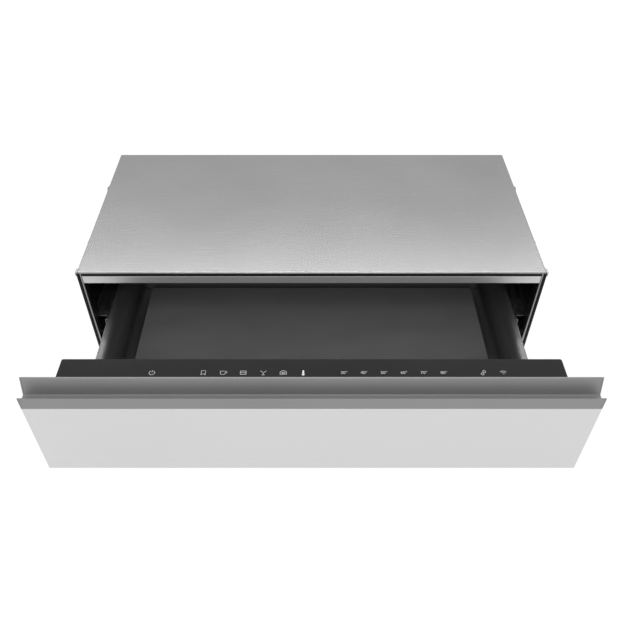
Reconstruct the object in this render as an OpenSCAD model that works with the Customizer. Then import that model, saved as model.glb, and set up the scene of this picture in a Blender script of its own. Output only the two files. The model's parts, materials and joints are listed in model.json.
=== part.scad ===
// Built-in warming drawer for a kitchen niche, drawn with its drawer pulled out.
// The origin is on the casing's base, in the middle of the mouth. The front faces -Y.

/* [Casing] */
// Width of the casing over its lid
casing_w = 550; // [540:1:600]
// Height of the casing
casing_h = 140; // [136:1:170]
// Depth of the casing from its mouth to its back
casing_d = 260; // [250:1:340]
// Thickness of the lid and side sheets
sheet = 1; // [0.8:0.1:1.2]
// Thickness of the base, rear and bracket sheets
plate = 1.2; // [1:0.1:1.4]
// Height of the lid's side folds
lid_fold_h = 11; // [9:0.5:14]
// Depth of the fold under the lid's front edge
lid_hem_d = 9; // [6:0.5:12]
// Length of the lid's corner lugs
lug_l = 8; // [5:0.5:12]
// Height of the lid's corner lugs
lug_h = 5.5; // [4:0.5:8]
// How far the corner lugs stand out
lug_out = 1.8; // [1:0.1:3]
// Distance of the lid screws from the mouth
lid_screw_y = 63; // [40:1:120]
// Distance of the lid clips from the mouth
lid_clip_y = 177; // [150:1:220]
// Length of a lid clip
lid_clip_l = 17; // [10:1:24]
// Thickness of a lid clip
lid_clip_t = 3; // [2:0.1:4]
// Width of the flanges that the lid rests on
rest_flange_w = 12; // [8:1:16]

/* [Niche fixing] */
// Diameter of the side fixing holes
side_hole_d = 4.5; // [3.5:0.1:6]
// Distance of the side fixing holes from the mouth
side_hole_y = 24; // [20:1:60]
// Height of the lower side fixing hole
side_hole_z = 105; // [100:1:105]
// Distance between the two side fixing holes
side_hole_pitch = 18; // [12:1:18]
// Diameter of the base fixing holes
base_hole_d = 5; // [4:0.1:7]
// Distance between the base fixing holes across the casing
base_hole_pitch_x = 480; // [300:5:500]
// Distance between the base fixing holes along the casing
base_hole_pitch_y = 200; // [100:5:210]
// Distance of the front base fixing holes from the mouth
base_hole_y = 30; // [22:1:35]

/* [Mouth] */
// Width of the seal round the mouth
seal_w = 3; // [2:0.1:4]
// How far the seal stands out of the mouth
seal_out = 1.6; // [1:0.1:1.7]
// Depth of the stem that holds the seal
seal_stem = 6; // [4:0.5:8]
// Height of the seal above the top bar
seal_top_h = 3.2; // [2:0.1:4]
// Height of the top bar
bar_h = 11.3; // [8:0.1:14]
// Width of the mouth's side flanges seen from the front
flange_w = 2.5; // [2:0.1:4]
// Depth of the mouth frame
mouth_d = 14; // [10:0.5:18]
// Height of the sill at the bottom of the mouth
sill_h = 5.5; // [4:0.1:6]

/* [Front] */
// Width of the front
front_w = 590; // [560:1:640]
// Thickness of the front
front_t = 20; // [18.5:0.5:26]
// Gap between the casing and the closed front
front_gap = 2; // [1.9:0.1:4]
// Gap under the front, above the casing's base
front_low_gap = 1.6; // [0.5:0.1:4]
// Distance from the casing's top down to the fin's top
fin_drop = 4.6; // [3:0.1:6]
// Distance from the casing's top down to the lip's top
lip_drop = 14.7; // [12:0.1:20]
// Height of the grip profile's front strip
strip_h = 16.6; // [13:0.1:24]
// Thickness of the lip
lip_t = 2; // [1.5:0.1:3]
// Depth of the finger groove below the lip
groove_h = 9.7; // [7:0.1:11]
// Width of the finger groove at its bottom
groove_w = 10.7; // [9:0.1:11.5]
// Radius at the foot of the fin
groove_r = 3; // [2:0.1:4]
// Radius at the foot of the lip
lip_r = 1; // [0.5:0.1:2]
// Lean of the fin's front, in degrees
fin_lean = 9.5; // [4:0.5:10]
// Thickness of the fin at its top
fin_top_t = 2.5; // [2:0.1:3]
// Height of the bevel along the fin's top
fin_bevel = 1.2; // [0.5:0.1:2]
// Thickness of the grip profile's walls
profile_wall = 2; // [1.5:0.1:2.5]
// Thickness of the profile's end caps
end_cap_t = 1.5; // [1:0.1:3]
// Thickness of the face panel
face_t = 6; // [4:0.5:8]
// Distance from the face panel's edges to the back pan
back_pan_inset = 6; // [3:0.5:12]
// Play between the insulation and what is round it
fill_play = 0.3; // [0.1:0.1:1]

/* [Drawer] */
// How far the drawer is pulled out as drawn
pull_out = 153; // [0:1:240]
// Full travel of the drawer
travel = 240; // [160:1:246]
// Gap behind the closed tray
rear_gap = 2.8; // [1:0.1:6]
// Distance from the control glass down to the tray's rim
rim_drop = 38; // [34:0.5:42]
// Height of the tray's floor sheet above the casing's base
tray_z = 20; // [18:0.5:26]
// Thickness of the tray's sheet
tray_sheet = 1; // [0.8:0.1:1.5]
// Inner radius between the tray's floor and sides
tray_r = 12; // [6:0.5:14]
// Width of the tray's rim
rim_w = 13; // [12.5:0.5:15]
// Radius between the tray's sides and its rim
rim_r = 12; // [8:0.5:12]
// Height of the rim's outer fold
rim_fold_h = 6; // [3:0.5:9]
// Gap between the control housing and the tray
tray_front_gap = 0.6; // [0.3:0.1:2]
// Thickness of the glass floor
floor_glass_t = 5; // [4:0.5:8]
// Play round the glass floor
floor_glass_play = 1; // [0.5:0.1:3]
// Number of air slots in the tray's rear wall, in one row
tray_slots = 12; // [4:1:16]
// Length of an air slot
tray_slot_l = 20; // [10:1:24]
// Height of an air slot
tray_slot_h = 4; // [3:0.5:6]
// Distance between neighbouring air slots
tray_slot_pitch = 32; // [26:1:34]
// Distance from the rim down to the top row of air slots
tray_slot_drop = 25; // [12:1:32]

/* [Floor heating] */
// Diameter of the floor heater's tube
heater_d = 5.2; // [4:0.1:5.4]
// Straight runs of the floor heater
heater_runs = 6; // [2:2:8]
// Distance between the runs
heater_pitch = 32; // [20:1:34]
// Length of the straight runs
heater_run_l = 340; // [200:5:360]
// Thickness of the insulation under the heater
floor_fill_t = 4.5; // [2:0.5:5]
// Gap between the casing's base and the bottom pan
pan_gap = 8.5; // [7.5:0.1:9]
// Length of the temperature sensor
sensor_l = 14; // [8:1:24]
// Width of the temperature sensor
sensor_w = 8; // [5:0.5:12]
// Thickness of the temperature sensor
sensor_t = 4.6; // [3:0.1:5]

/* [Controls] */
// Distance from the casing's side to the control housing's end
control_margin = 9.8; // [8:0.1:16]
// Depth of the control glass
control_d = 36.4; // [30:0.1:48]
// Gap between the top bar and the control glass
control_gap = 1.5; // [1:0.1:4]
// Thickness of the control glass
control_glass_t = 4; // [3:0.5:6]
// Height of the control housing with its glass
control_h = 24; // [18:1:30]
// Thickness of the control board
board_t = 1.6; // [1:0.1:2]
// Length of the control board
board_l = 450; // [430:5:480]
// Width of the control board
board_w = 22; // [14:1:28]
// Height of the touch springs
spring_h = 4.4; // [3:0.1:6]
// Diameter of a touch spring
spring_d = 7; // [4:0.5:10]
// Distance between neighbouring touch keys
key_pitch = 20.8; // [12:0.1:21]
// Place of the power key from the middle
power_key_x = -166.2; // [-190:0.1:-140]
// Place of the first programme key from the middle
programme_key_x = -112.7; // [-120:0.1:-108]
// Place of the first temperature key from the middle
heat_key_x = 33.7; // [30:0.1:36]
// Place of the first key of the right-hand pair
pair_key_x = 178.7; // [170:0.1:182]
// Distance of the keys from the front's back
key_y = 16.6; // [12:0.1:20]

/* [Runners] */
// Thickness of one set of runner members
runner_t = 13; // [12.5:0.1:14]
// Height of the outer runner member
runner_h = 36; // [34:0.5:44]
// Height of the runners' middle above the casing's base
runner_z = 40; // [39:0.5:52]
// Thickness of the runner's steel
runner_gauge = 1.2; // [1:0.1:1.3]
// Depth of the outer member's lips
outer_lip = 9; // [8:0.1:9.5]
// Gap between two members' webs
web_gap = 1.2; // [1:0.1:1.6]
// How far the middle member stays clear of the tray side
mid_setback = 2; // [1.5:0.1:3]
// Depth of the inner member
inner_depth = 8; // [7:0.1:8.2]
// Diameter of the balls between the outer and middle members
ball_d = 4; // [3.5:0.1:4.2]
// Diameter of the balls between the middle and inner members
small_ball_d = 3; // [2.6:0.1:3.2]
// Play of a ball between its raceways, each side
ball_play = 0.05; // [0.03:0.01:0.08]
// Play of a ball in its cage
pocket_play = 0.1; // [0.05:0.05:0.2]
// Balls in one row of a cage
row_balls = 7; // [3:1:9]
// Distance between neighbouring balls
ball_pitch = 18; // [10:1:19]
// Thickness of a cage's sheet
cage_t = 0.6; // [0.4:0.1:0.6]
// Distance from the mouth to the closed runners
runner_front_gap = 6; // [4:0.5:10]
// Distance from the closed runners to the casing's back
runner_rear_gap = 4; // [3:0.5:8]
// Depth of the rails that carry the runners
carrier_d = 13; // [6:0.5:14]
// Height of the carrier rail's face
carrier_h = 30; // [24:1:34]
// Height of the carrier rail's feet
carrier_foot = 10; // [6:1:12]
// Gap between the runner and the tray's rim
rim_gap = 1; // [0.5:0.5:6]

/* [Front brackets] */
// Length of the brackets that carry the front
cheek_l = 95; // [70:1:140]
// Width of the cheek brackets' flanges
cheek_flange = 27; // [20:1:40]
// Height of the cheek brackets' lower edge
cheek_z = 52; // [50:1:60]
// Diameter of the front screws' heads
screw_head_d = 8; // [6:0.5:10]
// Diameter of the screws' shanks
screw_d = 4; // [3:0.1:5]
// Diameter of the lid screws' heads
lid_screw_head_d = 6; // [5:0.5:7]
// Height of a lid screw's head
lid_screw_head_h = 2; // [1:0.1:2.5]
// Diameter of the lid screws' shanks
lid_screw_d = 3; // [2.5:0.1:4]
// Play of a screw in its hole, each side
screw_play = 0.2; // [0.1:0.05:0.4]
// Height of the screws' heads
screw_head_h = 2; // [1:0.1:3]

/* [Rear service box] */
// Width of the service box
service_w = 320; // [310:5:420]
// Depth of the service box
service_d = 58; // [56:1:80]
// Height of the service box
service_h = 94; // [92:1:96]
// Distance from the casing's base to the service box
service_z = 4; // [2:0.5:5]
// Width of the service box's fixing flanges
service_flange = 12; // [10:1:20]
// Height of the fan's axis
fan_z = 51; // [49:0.5:52]
// Inner diameter of the fan duct
duct_d = 72; // [68:1:76]
// Thickness of the duct's wall
duct_wall = 1.5; // [1:0.1:2.5]
// Length of the fan duct
duct_l = 32; // [30:1:36]
// Diameter of the fan wheel
wheel_d = 66; // [60:1:67]
// Depth of the fan wheel
wheel_l = 12; // [8:1:13]
// Distance from the rear panel to the fan wheel
wheel_gap = 16; // [15:1:17]
// Diameter of the fan wheel's hub
hub_d = 20; // [14:1:24]
// Number of blades
blades = 7; // [5:1:9]
// Pitch of the blades, in degrees
blade_pitch = 35; // [20:1:50]
// Thickness of a blade
blade_t = 1.4; // [1:0.1:2]
// Diameter of the motor's body
motor_d = 34; // [28:1:38]
// Length of the motor's body
motor_l = 18; // [14:1:20]
// Diameter of the fan's shaft
shaft_d = 4; // [3:0.5:6]
// Running clearance of the shaft in the motor, each side
shaft_play = 0.05; // [0.02:0.01:0.08]
// Depth of the shaft in the motor
shaft_depth = 9; // [6:0.5:12]
// Diameter of the ring heater at the middle of its tube
ring_d = 48; // [44:1:52]
// Diameter of the ring heater's tube
ring_tube_d = 6; // [5:0.5:7]
// Diameter of the fan grille
grille_d = 80; // [78:1:86]
// Diameter of the hole behind the grille
grille_hole_d = 68; // [60:1:70]
// Thickness of the grille
grille_t = 1.2; // [0.8:0.1:1.4]
// Distance between the grille's rings
grille_pitch = 6.5; // [5:0.5:8]
// Width of a ring or rib of the grille
grille_bar = 2.5; // [1.5:0.1:3]
// Diameter of the cable gland's bore
gland_bore_d = 8.4; // [6:0.1:9]
// Length of the cable gland
gland_l = 22; // [18:1:30]
// Diameter of the gland's nose
gland_d = 16; // [14:1:18]
// Diameter of the gland's flange
gland_flange_d = 22; // [20:1:26]
// Place of the gland across the box
gland_x = -110; // [-130:1:-90]
// Height of the gland
gland_z = 30; // [20:1:60]
// Diameter of a stop buffer
buffer_d = 12; // [8:1:16]
// Gap between a stop buffer and the closed tray
buffer_gap = 0.3; // [0.2:0.1:0.5]

/* [Hidden] */
$fn = 48;

LEFT = -1;
RIGHT = 1;
CUT = 1;

steel = "silver";
pale = "gainsboro";
grey = "darkgray";
dark = "dimgray";
black = "black";

// Casing
lid_x = casing_w / 2;
wall_x = lid_x - sheet;
wall_in_x = wall_x - sheet;
lid_z = casing_h - sheet;
rest_z = lid_z - sheet;
rear_y = casing_d - plate;
lid_screw_z = casing_h - lid_fold_h / 2 - sheet / 2;
wall_screw_l = 3;
clip_h = lid_fold_h - 4;
clip_stud_d = 4;
edge_fold_h = 10;
edge_setback = 2;
rest_setback = 6;
return_w = 4;
return_h = 50;
return_pitch = 7;
return_x = duct_d / 2 + duct_wall + 12;

// Mouth
seal_top = rest_z;
bar_top = seal_top - seal_top_h;
bar_low = bar_top - bar_h;
flange_x = lid_x - seal_w;
mouth_x = flange_x - flange_w;

// Front
front_back = -front_gap - pull_out;
front_face = front_back - front_t;
fin_top = casing_h - fin_drop;
lip_top = casing_h - lip_drop;
face_top = lip_top - strip_h;
groove_z = lip_top - groove_h;
face_back = front_face + face_t;
pan_x = front_w / 2 - back_pan_inset;
pan_low = front_low_gap + back_pan_inset / 2;

// Controls
control_top = bar_low - control_gap;
control_low = control_top - control_h;
control_under = control_top - control_glass_t;
control_x = lid_x - control_margin;
control_rear = front_back + control_d;
board_y = front_back + key_y - board_w / 2;
board_top = control_under - spring_h;
board_low = board_top - board_t;
post_d = 5;
post_pitch = board_l / 5;
chip_l = 14;
chip_h = 1.4;

// Runners
runner_in_x = wall_in_x - carrier_d - runner_t;
carrier_x = wall_in_x - carrier_d;
runner_y = runner_front_gap;
runner_l = casing_d - runner_front_gap - runner_rear_gap;
mid_h = runner_h - 2 * runner_gauge - 2 * (ball_d + 2 * ball_play);
inner_h = mid_h - 2 * runner_gauge - 2 * (small_ball_d + 2 * ball_play);
mid_u = runner_gauge + web_gap;
mid_depth = runner_t - mid_setback - mid_u;
ball_z = runner_h / 2 - runner_gauge - ball_play - ball_d / 2;
small_ball_z = mid_h / 2 - runner_gauge - ball_play - small_ball_d / 2;
ball_u = (mid_u + outer_lip) / 2;
small_ball_u = (mid_u + mid_depth + runner_t - inner_depth) / 2;
cage_gap = (web_gap - cage_t) / 2;
cage_l = runner_l - travel / 2 - 4;
cage_y = runner_y + (runner_l - cage_l) / 2;
cage_reach = 1.7;
inner_cage_u = mid_u + runner_gauge + (runner_t - inner_depth - mid_u - runner_gauge - cage_t) / 2;

// Tray
rim_x = runner_in_x - rim_gap;
tray_x = rim_x - rim_w + tray_sheet;
tray_in_x = tray_x - tray_sheet;
rim_z = control_top - rim_drop;
front_wall_z = control_low + 3;
tray_y = control_rear + tray_front_gap;
tray_end = rear_y - rear_gap - pull_out;
floor_x = tray_in_x - tray_r;
glass_z = tray_z + tray_sheet;
pan_wall_x = floor_x - 1;
pan_top = pan_gap + plate;
fill_top = pan_top + floor_fill_t;
heater_z = (fill_top + tray_z) / 2;
heater_mid_y = (tray_y + tray_end) / 2;

// Rear service box
service_x = service_w / 2;
service_back = casing_d + service_d;
service_top = service_z + service_h;
wheel_y = casing_d + wheel_gap;
motor_y = casing_d + duct_l + 2;
ring_y = casing_d + 8;
ring_leg_d = ring_tube_d - 1;
shaft_nose = 4;
shaft_hole_d = shaft_d + 2;
post_l = 8;
power_x = duct_d / 2 + 35;
power_w = 80;
power_h = 62;
power_z = 22;
terminal_w = 50;
terminal_d = 22;
terminal_h = 22;
terminal_z = 60;
vent_count = 9;
vent_w = 4;
vent_h = 44;
vent_pitch = 9;
buffer_x = 200;
buffer_low = 40;
buffer_rise = 30;

// A box between two opposite corners
module slab(low, high) {
    translate(low)
        cube(high - low);
}

// A flat outline drawn in X and Z, drawn out along Y
module along_y(y0, y1) {
    translate([0, y1, 0])
        rotate([90, 0, 0])
            linear_extrude(y1 - y0)
                children();
}

// A flat outline drawn in Y and Z, drawn out along X
module along_x(x0, x1) {
    translate([x0, 0, 0])
        rotate([90, 0, 90])
            linear_extrude(x1 - x0)
                children();
}

// A round bar along X
module bar_x(x0, x1, y, z, d) {
    translate([x0, y, z])
        rotate([0, 90, 0])
            cylinder(d = d, h = x1 - x0);
}

// A round bar along Y
module bar_y(x, y0, y1, z, d) {
    translate([x, y1, z])
        rotate([90, 0, 0])
            cylinder(d = d, h = y1 - y0);
}

// Draws the right-hand piece, or its mirror image on the left
module on_side(side) {
    if (side == RIGHT)
        children();
    else
        mirror([1, 0, 0])
            children();
}

module on_both_sides() {
    children();
    mirror([1, 0, 0])
        children();
}

// Points along an arc, from one angle to another
function arc(centre, r, a0, a1, steps = 6) =
    [for (i = [0:steps]) centre + r * [cos(a0 + (a1 - a0) * i / steps), sin(a0 + (a1 - a0) * i / steps)]];

// A channel that opens towards +X, drawn from its web
module channel(depth, h, t) {
    difference() {
        translate([0, -h / 2])
            square([depth, h]);
        translate([t, -h / 2 + t])
            square([depth, h - 2 * t]);
    }
}

// An upright outline with round lower corners
module round_bottom(half_w, z0, z1, r) {
    translate([-half_w, z0 + r])
        square([2 * half_w, z1 - z0 - r]);
    translate([r - half_w, z0])
        square([2 * (half_w - r), z1 - z0]);
    for (x = [r - half_w, half_w - r])
        translate([x, z0 + r])
            circle(r = r);
}

// Casing

module base_plate() {
    color(steel)
        difference() {
            union() {
                slab([-wall_in_x, 0, 0], [wall_in_x, rear_y, plate]);
                on_both_sides()
                    slab([wall_in_x - plate, mouth_d + edge_setback, plate],
                         [wall_in_x, rear_y - edge_setback, plate + edge_fold_h]);
            }
            for (x = [-1, 1] * base_hole_pitch_x / 2)
                for (y = [base_hole_y, base_hole_y + base_hole_pitch_y])
                    translate([x, y, -CUT])
                        cylinder(d = base_hole_d, h = plate + 2 * CUT);
        }
}

module side_wall(side) {
    color(steel)
        on_side(side)
            difference() {
                union() {
                    slab([wall_in_x, 0, 0], [wall_x, casing_d, lid_z]);
                    slab([wall_in_x - rest_flange_w, mouth_d + rest_setback, rest_z],
                         [wall_in_x, rear_y - rest_setback, lid_z]);
                }
                for (z = [side_hole_z, side_hole_z + side_hole_pitch])
                    bar_x(wall_in_x - CUT, wall_x + CUT, side_hole_y, z, side_hole_d);
                bar_x(wall_in_x - CUT, wall_x + CUT, lid_screw_y, lid_screw_z,
                      lid_screw_d + 2 * screw_play);
                bar_x(wall_in_x - CUT, wall_x + CUT, lid_clip_y, lid_screw_z,
                      clip_stud_d + 2 * screw_play);
            }
}

module rear_panel() {
    color(steel)
        difference() {
            union() {
                slab([-wall_in_x, rear_y, plate], [wall_in_x, casing_d, lid_z]);
                slab([-wall_in_x + 2 * rest_flange_w, rear_y - rest_flange_w, rest_z],
                     [wall_in_x - 2 * rest_flange_w, rear_y, lid_z]);
            }
            bar_y(0, rear_y - CUT, casing_d + CUT, fan_z, grille_hole_d);
            on_both_sides()
                for (i = [0:2])
                    slab([return_x + i * return_pitch, rear_y - CUT, fan_z - return_h / 2],
                         [return_x + i * return_pitch + return_w, casing_d + CUT, fan_z + return_h / 2]);
            on_both_sides()
                for (z = service_screw_zs())
                    bar_y(service_x + service_flange / 2, rear_y - CUT, casing_d + CUT, z,
                          lid_screw_d + 2 * screw_play);
        }
}

module lid() {
    color(steel)
        difference() {
            union() {
                slab([-lid_x, 0, lid_z], [lid_x, casing_d, casing_h]);
                slab([-wall_x, 0, rest_z], [wall_x, lid_hem_d, lid_z]);
                on_both_sides()
                    slab([wall_x, 0, casing_h - lid_fold_h], [lid_x, casing_d, casing_h]);
                on_both_sides()
                    slab([lid_x, 0, casing_h - lug_h], [lid_x + lug_out, lug_l, casing_h]);
            }
            on_both_sides()
                slab([wall_in_x, -CUT, casing_h - lid_fold_h - CUT], [wall_x, casing_d + CUT, lid_z]);
            on_both_sides()
                bar_x(wall_x - CUT, lid_x + CUT, lid_screw_y, lid_screw_z,
                      lid_screw_d + 2 * screw_play);
            on_both_sides()
                bar_x(wall_x - CUT, lid_x + CUT, lid_clip_y, lid_screw_z,
                      clip_stud_d + 2 * screw_play);
        }
}

module lid_screws() {
    color(grey)
        on_both_sides() {
            bar_x(lid_x, lid_x + lid_screw_head_h, lid_screw_y, lid_screw_z, lid_screw_head_d);
            bar_x(lid_x - wall_screw_l, lid_x, lid_screw_y, lid_screw_z, lid_screw_d);
        }
}

module lid_clips() {
    color(grey)
        on_both_sides() {
            slab([lid_x, lid_clip_y - lid_clip_l / 2, lid_screw_z - clip_h / 2],
                 [lid_x + lid_clip_t, lid_clip_y + lid_clip_l / 2, lid_screw_z + clip_h / 2]);
            bar_x(lid_x - wall_screw_l, lid_x, lid_clip_y, lid_screw_z, clip_stud_d);
        }
}

// Mouth of the casing

module mouth_seal() {
    color(black) {
        slab([-mouth_x, -seal_out, bar_top], [mouth_x, seal_stem, seal_top]);
        on_both_sides() {
            slab([flange_x, -seal_out, plate], [lid_x, 0, seal_top]);
            slab([flange_x, 0, plate], [wall_in_x, seal_stem, seal_top]);
        }
    }
}

module mouth_bar() {
    color(pale)
        along_x(-mouth_x, mouth_x)
            translate([0, bar_low + bar_h / 2])
                channel(mouth_d, bar_h, plate);
}

module mouth_flange(side) {
    color(pale)
        on_side(side) {
            slab([mouth_x, 0, plate], [flange_x, plate, seal_top]);
            slab([mouth_x, 0, plate], [mouth_x + plate, mouth_d, seal_top]);
        }
}

module mouth_sill() {
    color(pale) {
        slab([-mouth_x, 0, plate], [mouth_x, plate, plate + sill_h]);
        slab([-mouth_x, 0, sill_h], [mouth_x, mouth_d, plate + sill_h]);
    }
}

// Runners: each member is drawn at the place that the pulled-out drawer gives it

module runner_carrier(side) {
    foot_z = carrier_h / 2 + carrier_foot;
    carrier_y = mouth_d + edge_setback;
    color(grey)
        on_side(side)
            translate([0, 0, runner_z]) {
                slab([carrier_x, carrier_y, -carrier_h / 2], [carrier_x + plate, rear_y - plate, carrier_h / 2]);
                for (up = [0, 1])
                    mirror([0, 0, up]) {
                        slab([carrier_x, carrier_y, carrier_h / 2 - plate],
                             [wall_in_x, rear_y - plate, carrier_h / 2]);
                        slab([wall_in_x - plate, carrier_y, carrier_h / 2 - plate],
                             [wall_in_x, rear_y - plate, foot_z]);
                    }
            }
}

// Draws a runner outline from the runner's outer face towards the drawer
module runner_member(side, y, l) {
    color(steel)
        on_side(side)
            along_y(y, y + l)
                translate([carrier_x, runner_z])
                    mirror([1, 0])
                        children();
}

module runner_outer(side) {
    runner_member(side, runner_y, runner_l)
        channel(outer_lip, runner_h, runner_gauge);
}

module runner_mid(side) {
    runner_member(side, runner_y - pull_out / 2, runner_l)
        translate([mid_u, 0])
            channel(mid_depth, mid_h, runner_gauge);
}

module runner_inner(side) {
    runner_member(side, runner_y - pull_out, runner_l)
        translate([runner_t, 0])
            mirror([1, 0])
                channel(inner_depth, inner_h, runner_gauge);
}

// A cage strip with two rows of balls, each ball loose in its pocket
module ball_cage(side, shift, web_u, row_u, row_z, d) {
    half_z = row_z + cage_t / 2;
    flange_l = row_u + cage_reach - web_u;
    first_y = cage_y + cage_l / 2 - (row_balls - 1) * ball_pitch / 2 - shift;
    module at_balls() {
        for (i = [0:row_balls - 1])
            for (z = [-row_z, row_z])
                translate([carrier_x - row_u, first_y + i * ball_pitch, runner_z + z])
                    children();
    }
    color(grey)
        on_side(side) {
            difference() {
                along_y(cage_y - shift, cage_y + cage_l - shift)
                    translate([carrier_x - web_u, runner_z])
                        mirror([1, 0])
                            channel(flange_l, 2 * half_z, cage_t);
                at_balls()
                    cylinder(d = d + 2 * pocket_play, h = d, center = true);
            }
            at_balls()
                sphere(d = d);
        }
}

module outer_cage(side) {
    ball_cage(side, pull_out / 4, runner_gauge + cage_gap, ball_u, ball_z, ball_d);
}

module inner_cage(side) {
    ball_cage(side, pull_out * 3 / 4, inner_cage_u, small_ball_u, small_ball_z, small_ball_d);
}

// A channel that opens upwards, between the tray's side and the runner
module drawer_bracket(side) {
    low = runner_z - inner_h / 2;
    color(grey)
        on_side(side)
            difference() {
                slab([tray_x, tray_y, low], [runner_in_x, tray_end - edge_setback, low + inner_h]);
                slab([tray_x + plate, tray_y - CUT, low + plate],
                     [runner_in_x - plate, tray_end, low + inner_h + CUT]);
            }
}

// Drawer

// Outline of the right-hand rim: round over from the side, then flat, then folded down
module tray_rim() {
    translate([tray_in_x + rim_r, rim_z - rim_r])
        intersection() {
            difference() {
                circle(r = rim_r);
                circle(r = rim_r - tray_sheet);
            }
            translate([-rim_r, 0])
                square(rim_r);
        }
    translate([tray_in_x + rim_r, rim_z - tray_sheet])
        square([rim_w - rim_r, tray_sheet]);
    translate([rim_x - tray_sheet, rim_z - rim_fold_h])
        square([tray_sheet, rim_fold_h]);
}

module tray() {
    outer_r = tray_r + tray_sheet;
    color(grey)
        difference() {
            union() {
                along_y(tray_y, tray_end)
                    difference() {
                        round_bottom(tray_x, tray_z, rim_z - rim_r, outer_r);
                        round_bottom(tray_in_x, tray_z + tray_sheet, rim_z, tray_r);
                    }
                along_y(tray_y, tray_y + tray_sheet)
                    round_bottom(tray_x, tray_z, front_wall_z, outer_r);
                along_y(tray_end - tray_sheet, tray_end)
                    round_bottom(tray_x, tray_z, rim_z, outer_r);
                on_both_sides()
                    along_y(tray_y, tray_end)
                        tray_rim();
            }
            for (row = [0, 1])
                for (i = [0:tray_slots - 1])
                    translate([(i - (tray_slots - 1) / 2) * tray_slot_pitch - tray_slot_l / 2,
                               tray_end - tray_sheet - CUT,
                               rim_z - tray_slot_drop - row * 3 * tray_slot_h])
                        cube([tray_slot_l, tray_sheet + 2 * CUT, tray_slot_h]);
        }
}

module glass_floor() {
    color("#303234")
        slab([-floor_x, tray_y + tray_sheet + floor_glass_play, glass_z],
             [floor_x, tray_end - tray_sheet - floor_glass_play, glass_z + floor_glass_t]);
}

module floor_heater() {
    run_x = heater_run_l / 2;
    first_y = heater_mid_y - (heater_runs - 1) * heater_pitch / 2;
    color(dark)
        translate([0, first_y, heater_z]) {
            for (i = [0:heater_runs - 1])
                bar_x(-run_x, run_x, i * heater_pitch, 0, heater_d);
            for (i = [0:heater_runs - 2])
                translate([i % 2 == 0 ? run_x : -run_x, (i + 0.5) * heater_pitch, 0])
                    rotate([0, 0, i % 2 == 0 ? -90 : 90])
                        rotate_extrude(angle = 180)
                            translate([heater_pitch / 2, 0])
                                circle(d = heater_d);
        }
}

module floor_insulation() {
    color("wheat")
        slab([plate + fill_play - pan_wall_x, tray_y + 2 * plate, pan_top],
             [pan_wall_x - plate - fill_play, tray_end - 2 * plate, fill_top]);
}

module bottom_pan() {
    inner = [pan_wall_x - plate, tray_end - plate - tray_sheet];
    color(grey)
        difference() {
            slab([-pan_wall_x, tray_y + tray_sheet, pan_gap], [pan_wall_x, tray_end - tray_sheet, tray_z]);
            slab([-inner[0], tray_y + tray_sheet + plate, pan_top], [inner[0], inner[1], tray_z + CUT]);
        }
}

module temperature_sensor() {
    sensor_y = heater_mid_y - sensor_w / 2;
    color(pale)
        slab([-sensor_l / 2, sensor_y, tray_z - sensor_t], [sensor_l / 2, sensor_y + sensor_w, tray_z]);
}

// Front and what carries it

function front_screw_zs() = [cheek_z + screw_head_d, control_low - 2 * screw_head_d];

module cheek_bracket(side) {
    color(grey)
        on_side(side)
            difference() {
                union() {
                    slab([tray_x, front_back, cheek_z], [tray_x + plate, control_rear - plate, control_low]);
                    slab([tray_x, front_back, cheek_z],
                         [tray_x + plate, front_back + cheek_l, rim_z - rim_r]);
                    slab([tray_x - cheek_flange, front_back, cheek_z],
                         [tray_x, front_back + plate, control_low]);
                    slab([tray_x - cheek_flange, front_back, control_low - plate],
                         [tray_x, control_rear - plate, control_low]);
                }
                for (z = front_screw_zs())
                    bar_y(tray_x - cheek_flange / 2, front_back - CUT, front_back + plate + CUT, z,
                          screw_d + 2 * screw_play);
            }
}

module front_screws() {
    head_y = front_back + plate;
    color(steel)
        on_both_sides()
            for (z = front_screw_zs()) {
                bar_y(tray_x - cheek_flange / 2, head_y, head_y + screw_head_h, z, screw_head_d);
                bar_y(tray_x - cheek_flange / 2, front_back - plate, head_y, z, screw_d);
            }
}

module back_pan() {
    color(grey)
        difference() {
            slab([-pan_x, face_back, pan_low], [pan_x, front_back, face_top]);
            slab([plate - pan_x, face_back - CUT, pan_low + plate],
                 [pan_x - plate, front_back - plate, face_top - plate]);
            on_both_sides()
                for (z = front_screw_zs())
                    bar_y(tray_x - cheek_flange / 2, front_back - plate - CUT, front_back + CUT, z,
                          screw_d + 2 * screw_play);
        }
}

module front_insulation() {
    color("wheat")
        slab([plate + fill_play - pan_x, face_back, pan_low + plate + fill_play],
             [pan_x - plate - fill_play, front_back - plate - fill_play, face_top - plate - fill_play]);
}

module face_panel() {
    color(pale)
        slab([-front_w / 2, front_face, front_low_gap], [front_w / 2, face_back, face_top]);
}

// Outline of the grip profile: strip and lip, finger groove, leaning fin, straight back
module grip_outline() {
    foot = [front_face + lip_t + groove_w - groove_r, groove_z + groove_r];
    lean_y = foot[0] + groove_r * cos(fin_lean);
    lean_z = foot[1] - groove_r * sin(fin_lean);
    bevel_z = fin_top - fin_bevel;
    polygon(concat(
        [[front_face, face_top], [front_face, lip_top], [front_face + lip_t, lip_top]],
        arc([front_face + lip_t + lip_r, groove_z + lip_r], lip_r, 180, 270),
        arc(foot, groove_r, -90, -fin_lean),
        [[lean_y + (bevel_z - lean_z) * tan(fin_lean), bevel_z],
         [front_back - fin_top_t, fin_top],
         [front_back, fin_top],
         [front_back, face_top]]
    ));
}

module grip_profile() {
    cap_x = front_w / 2 - end_cap_t;
    color("darkgray")
        along_x(-cap_x, cap_x)
            difference() {
                grip_outline();
                translate([front_face + profile_wall, face_top + profile_wall])
                    square([front_t - 2 * profile_wall, groove_z - face_top - 2 * profile_wall]);
            }
}

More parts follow.
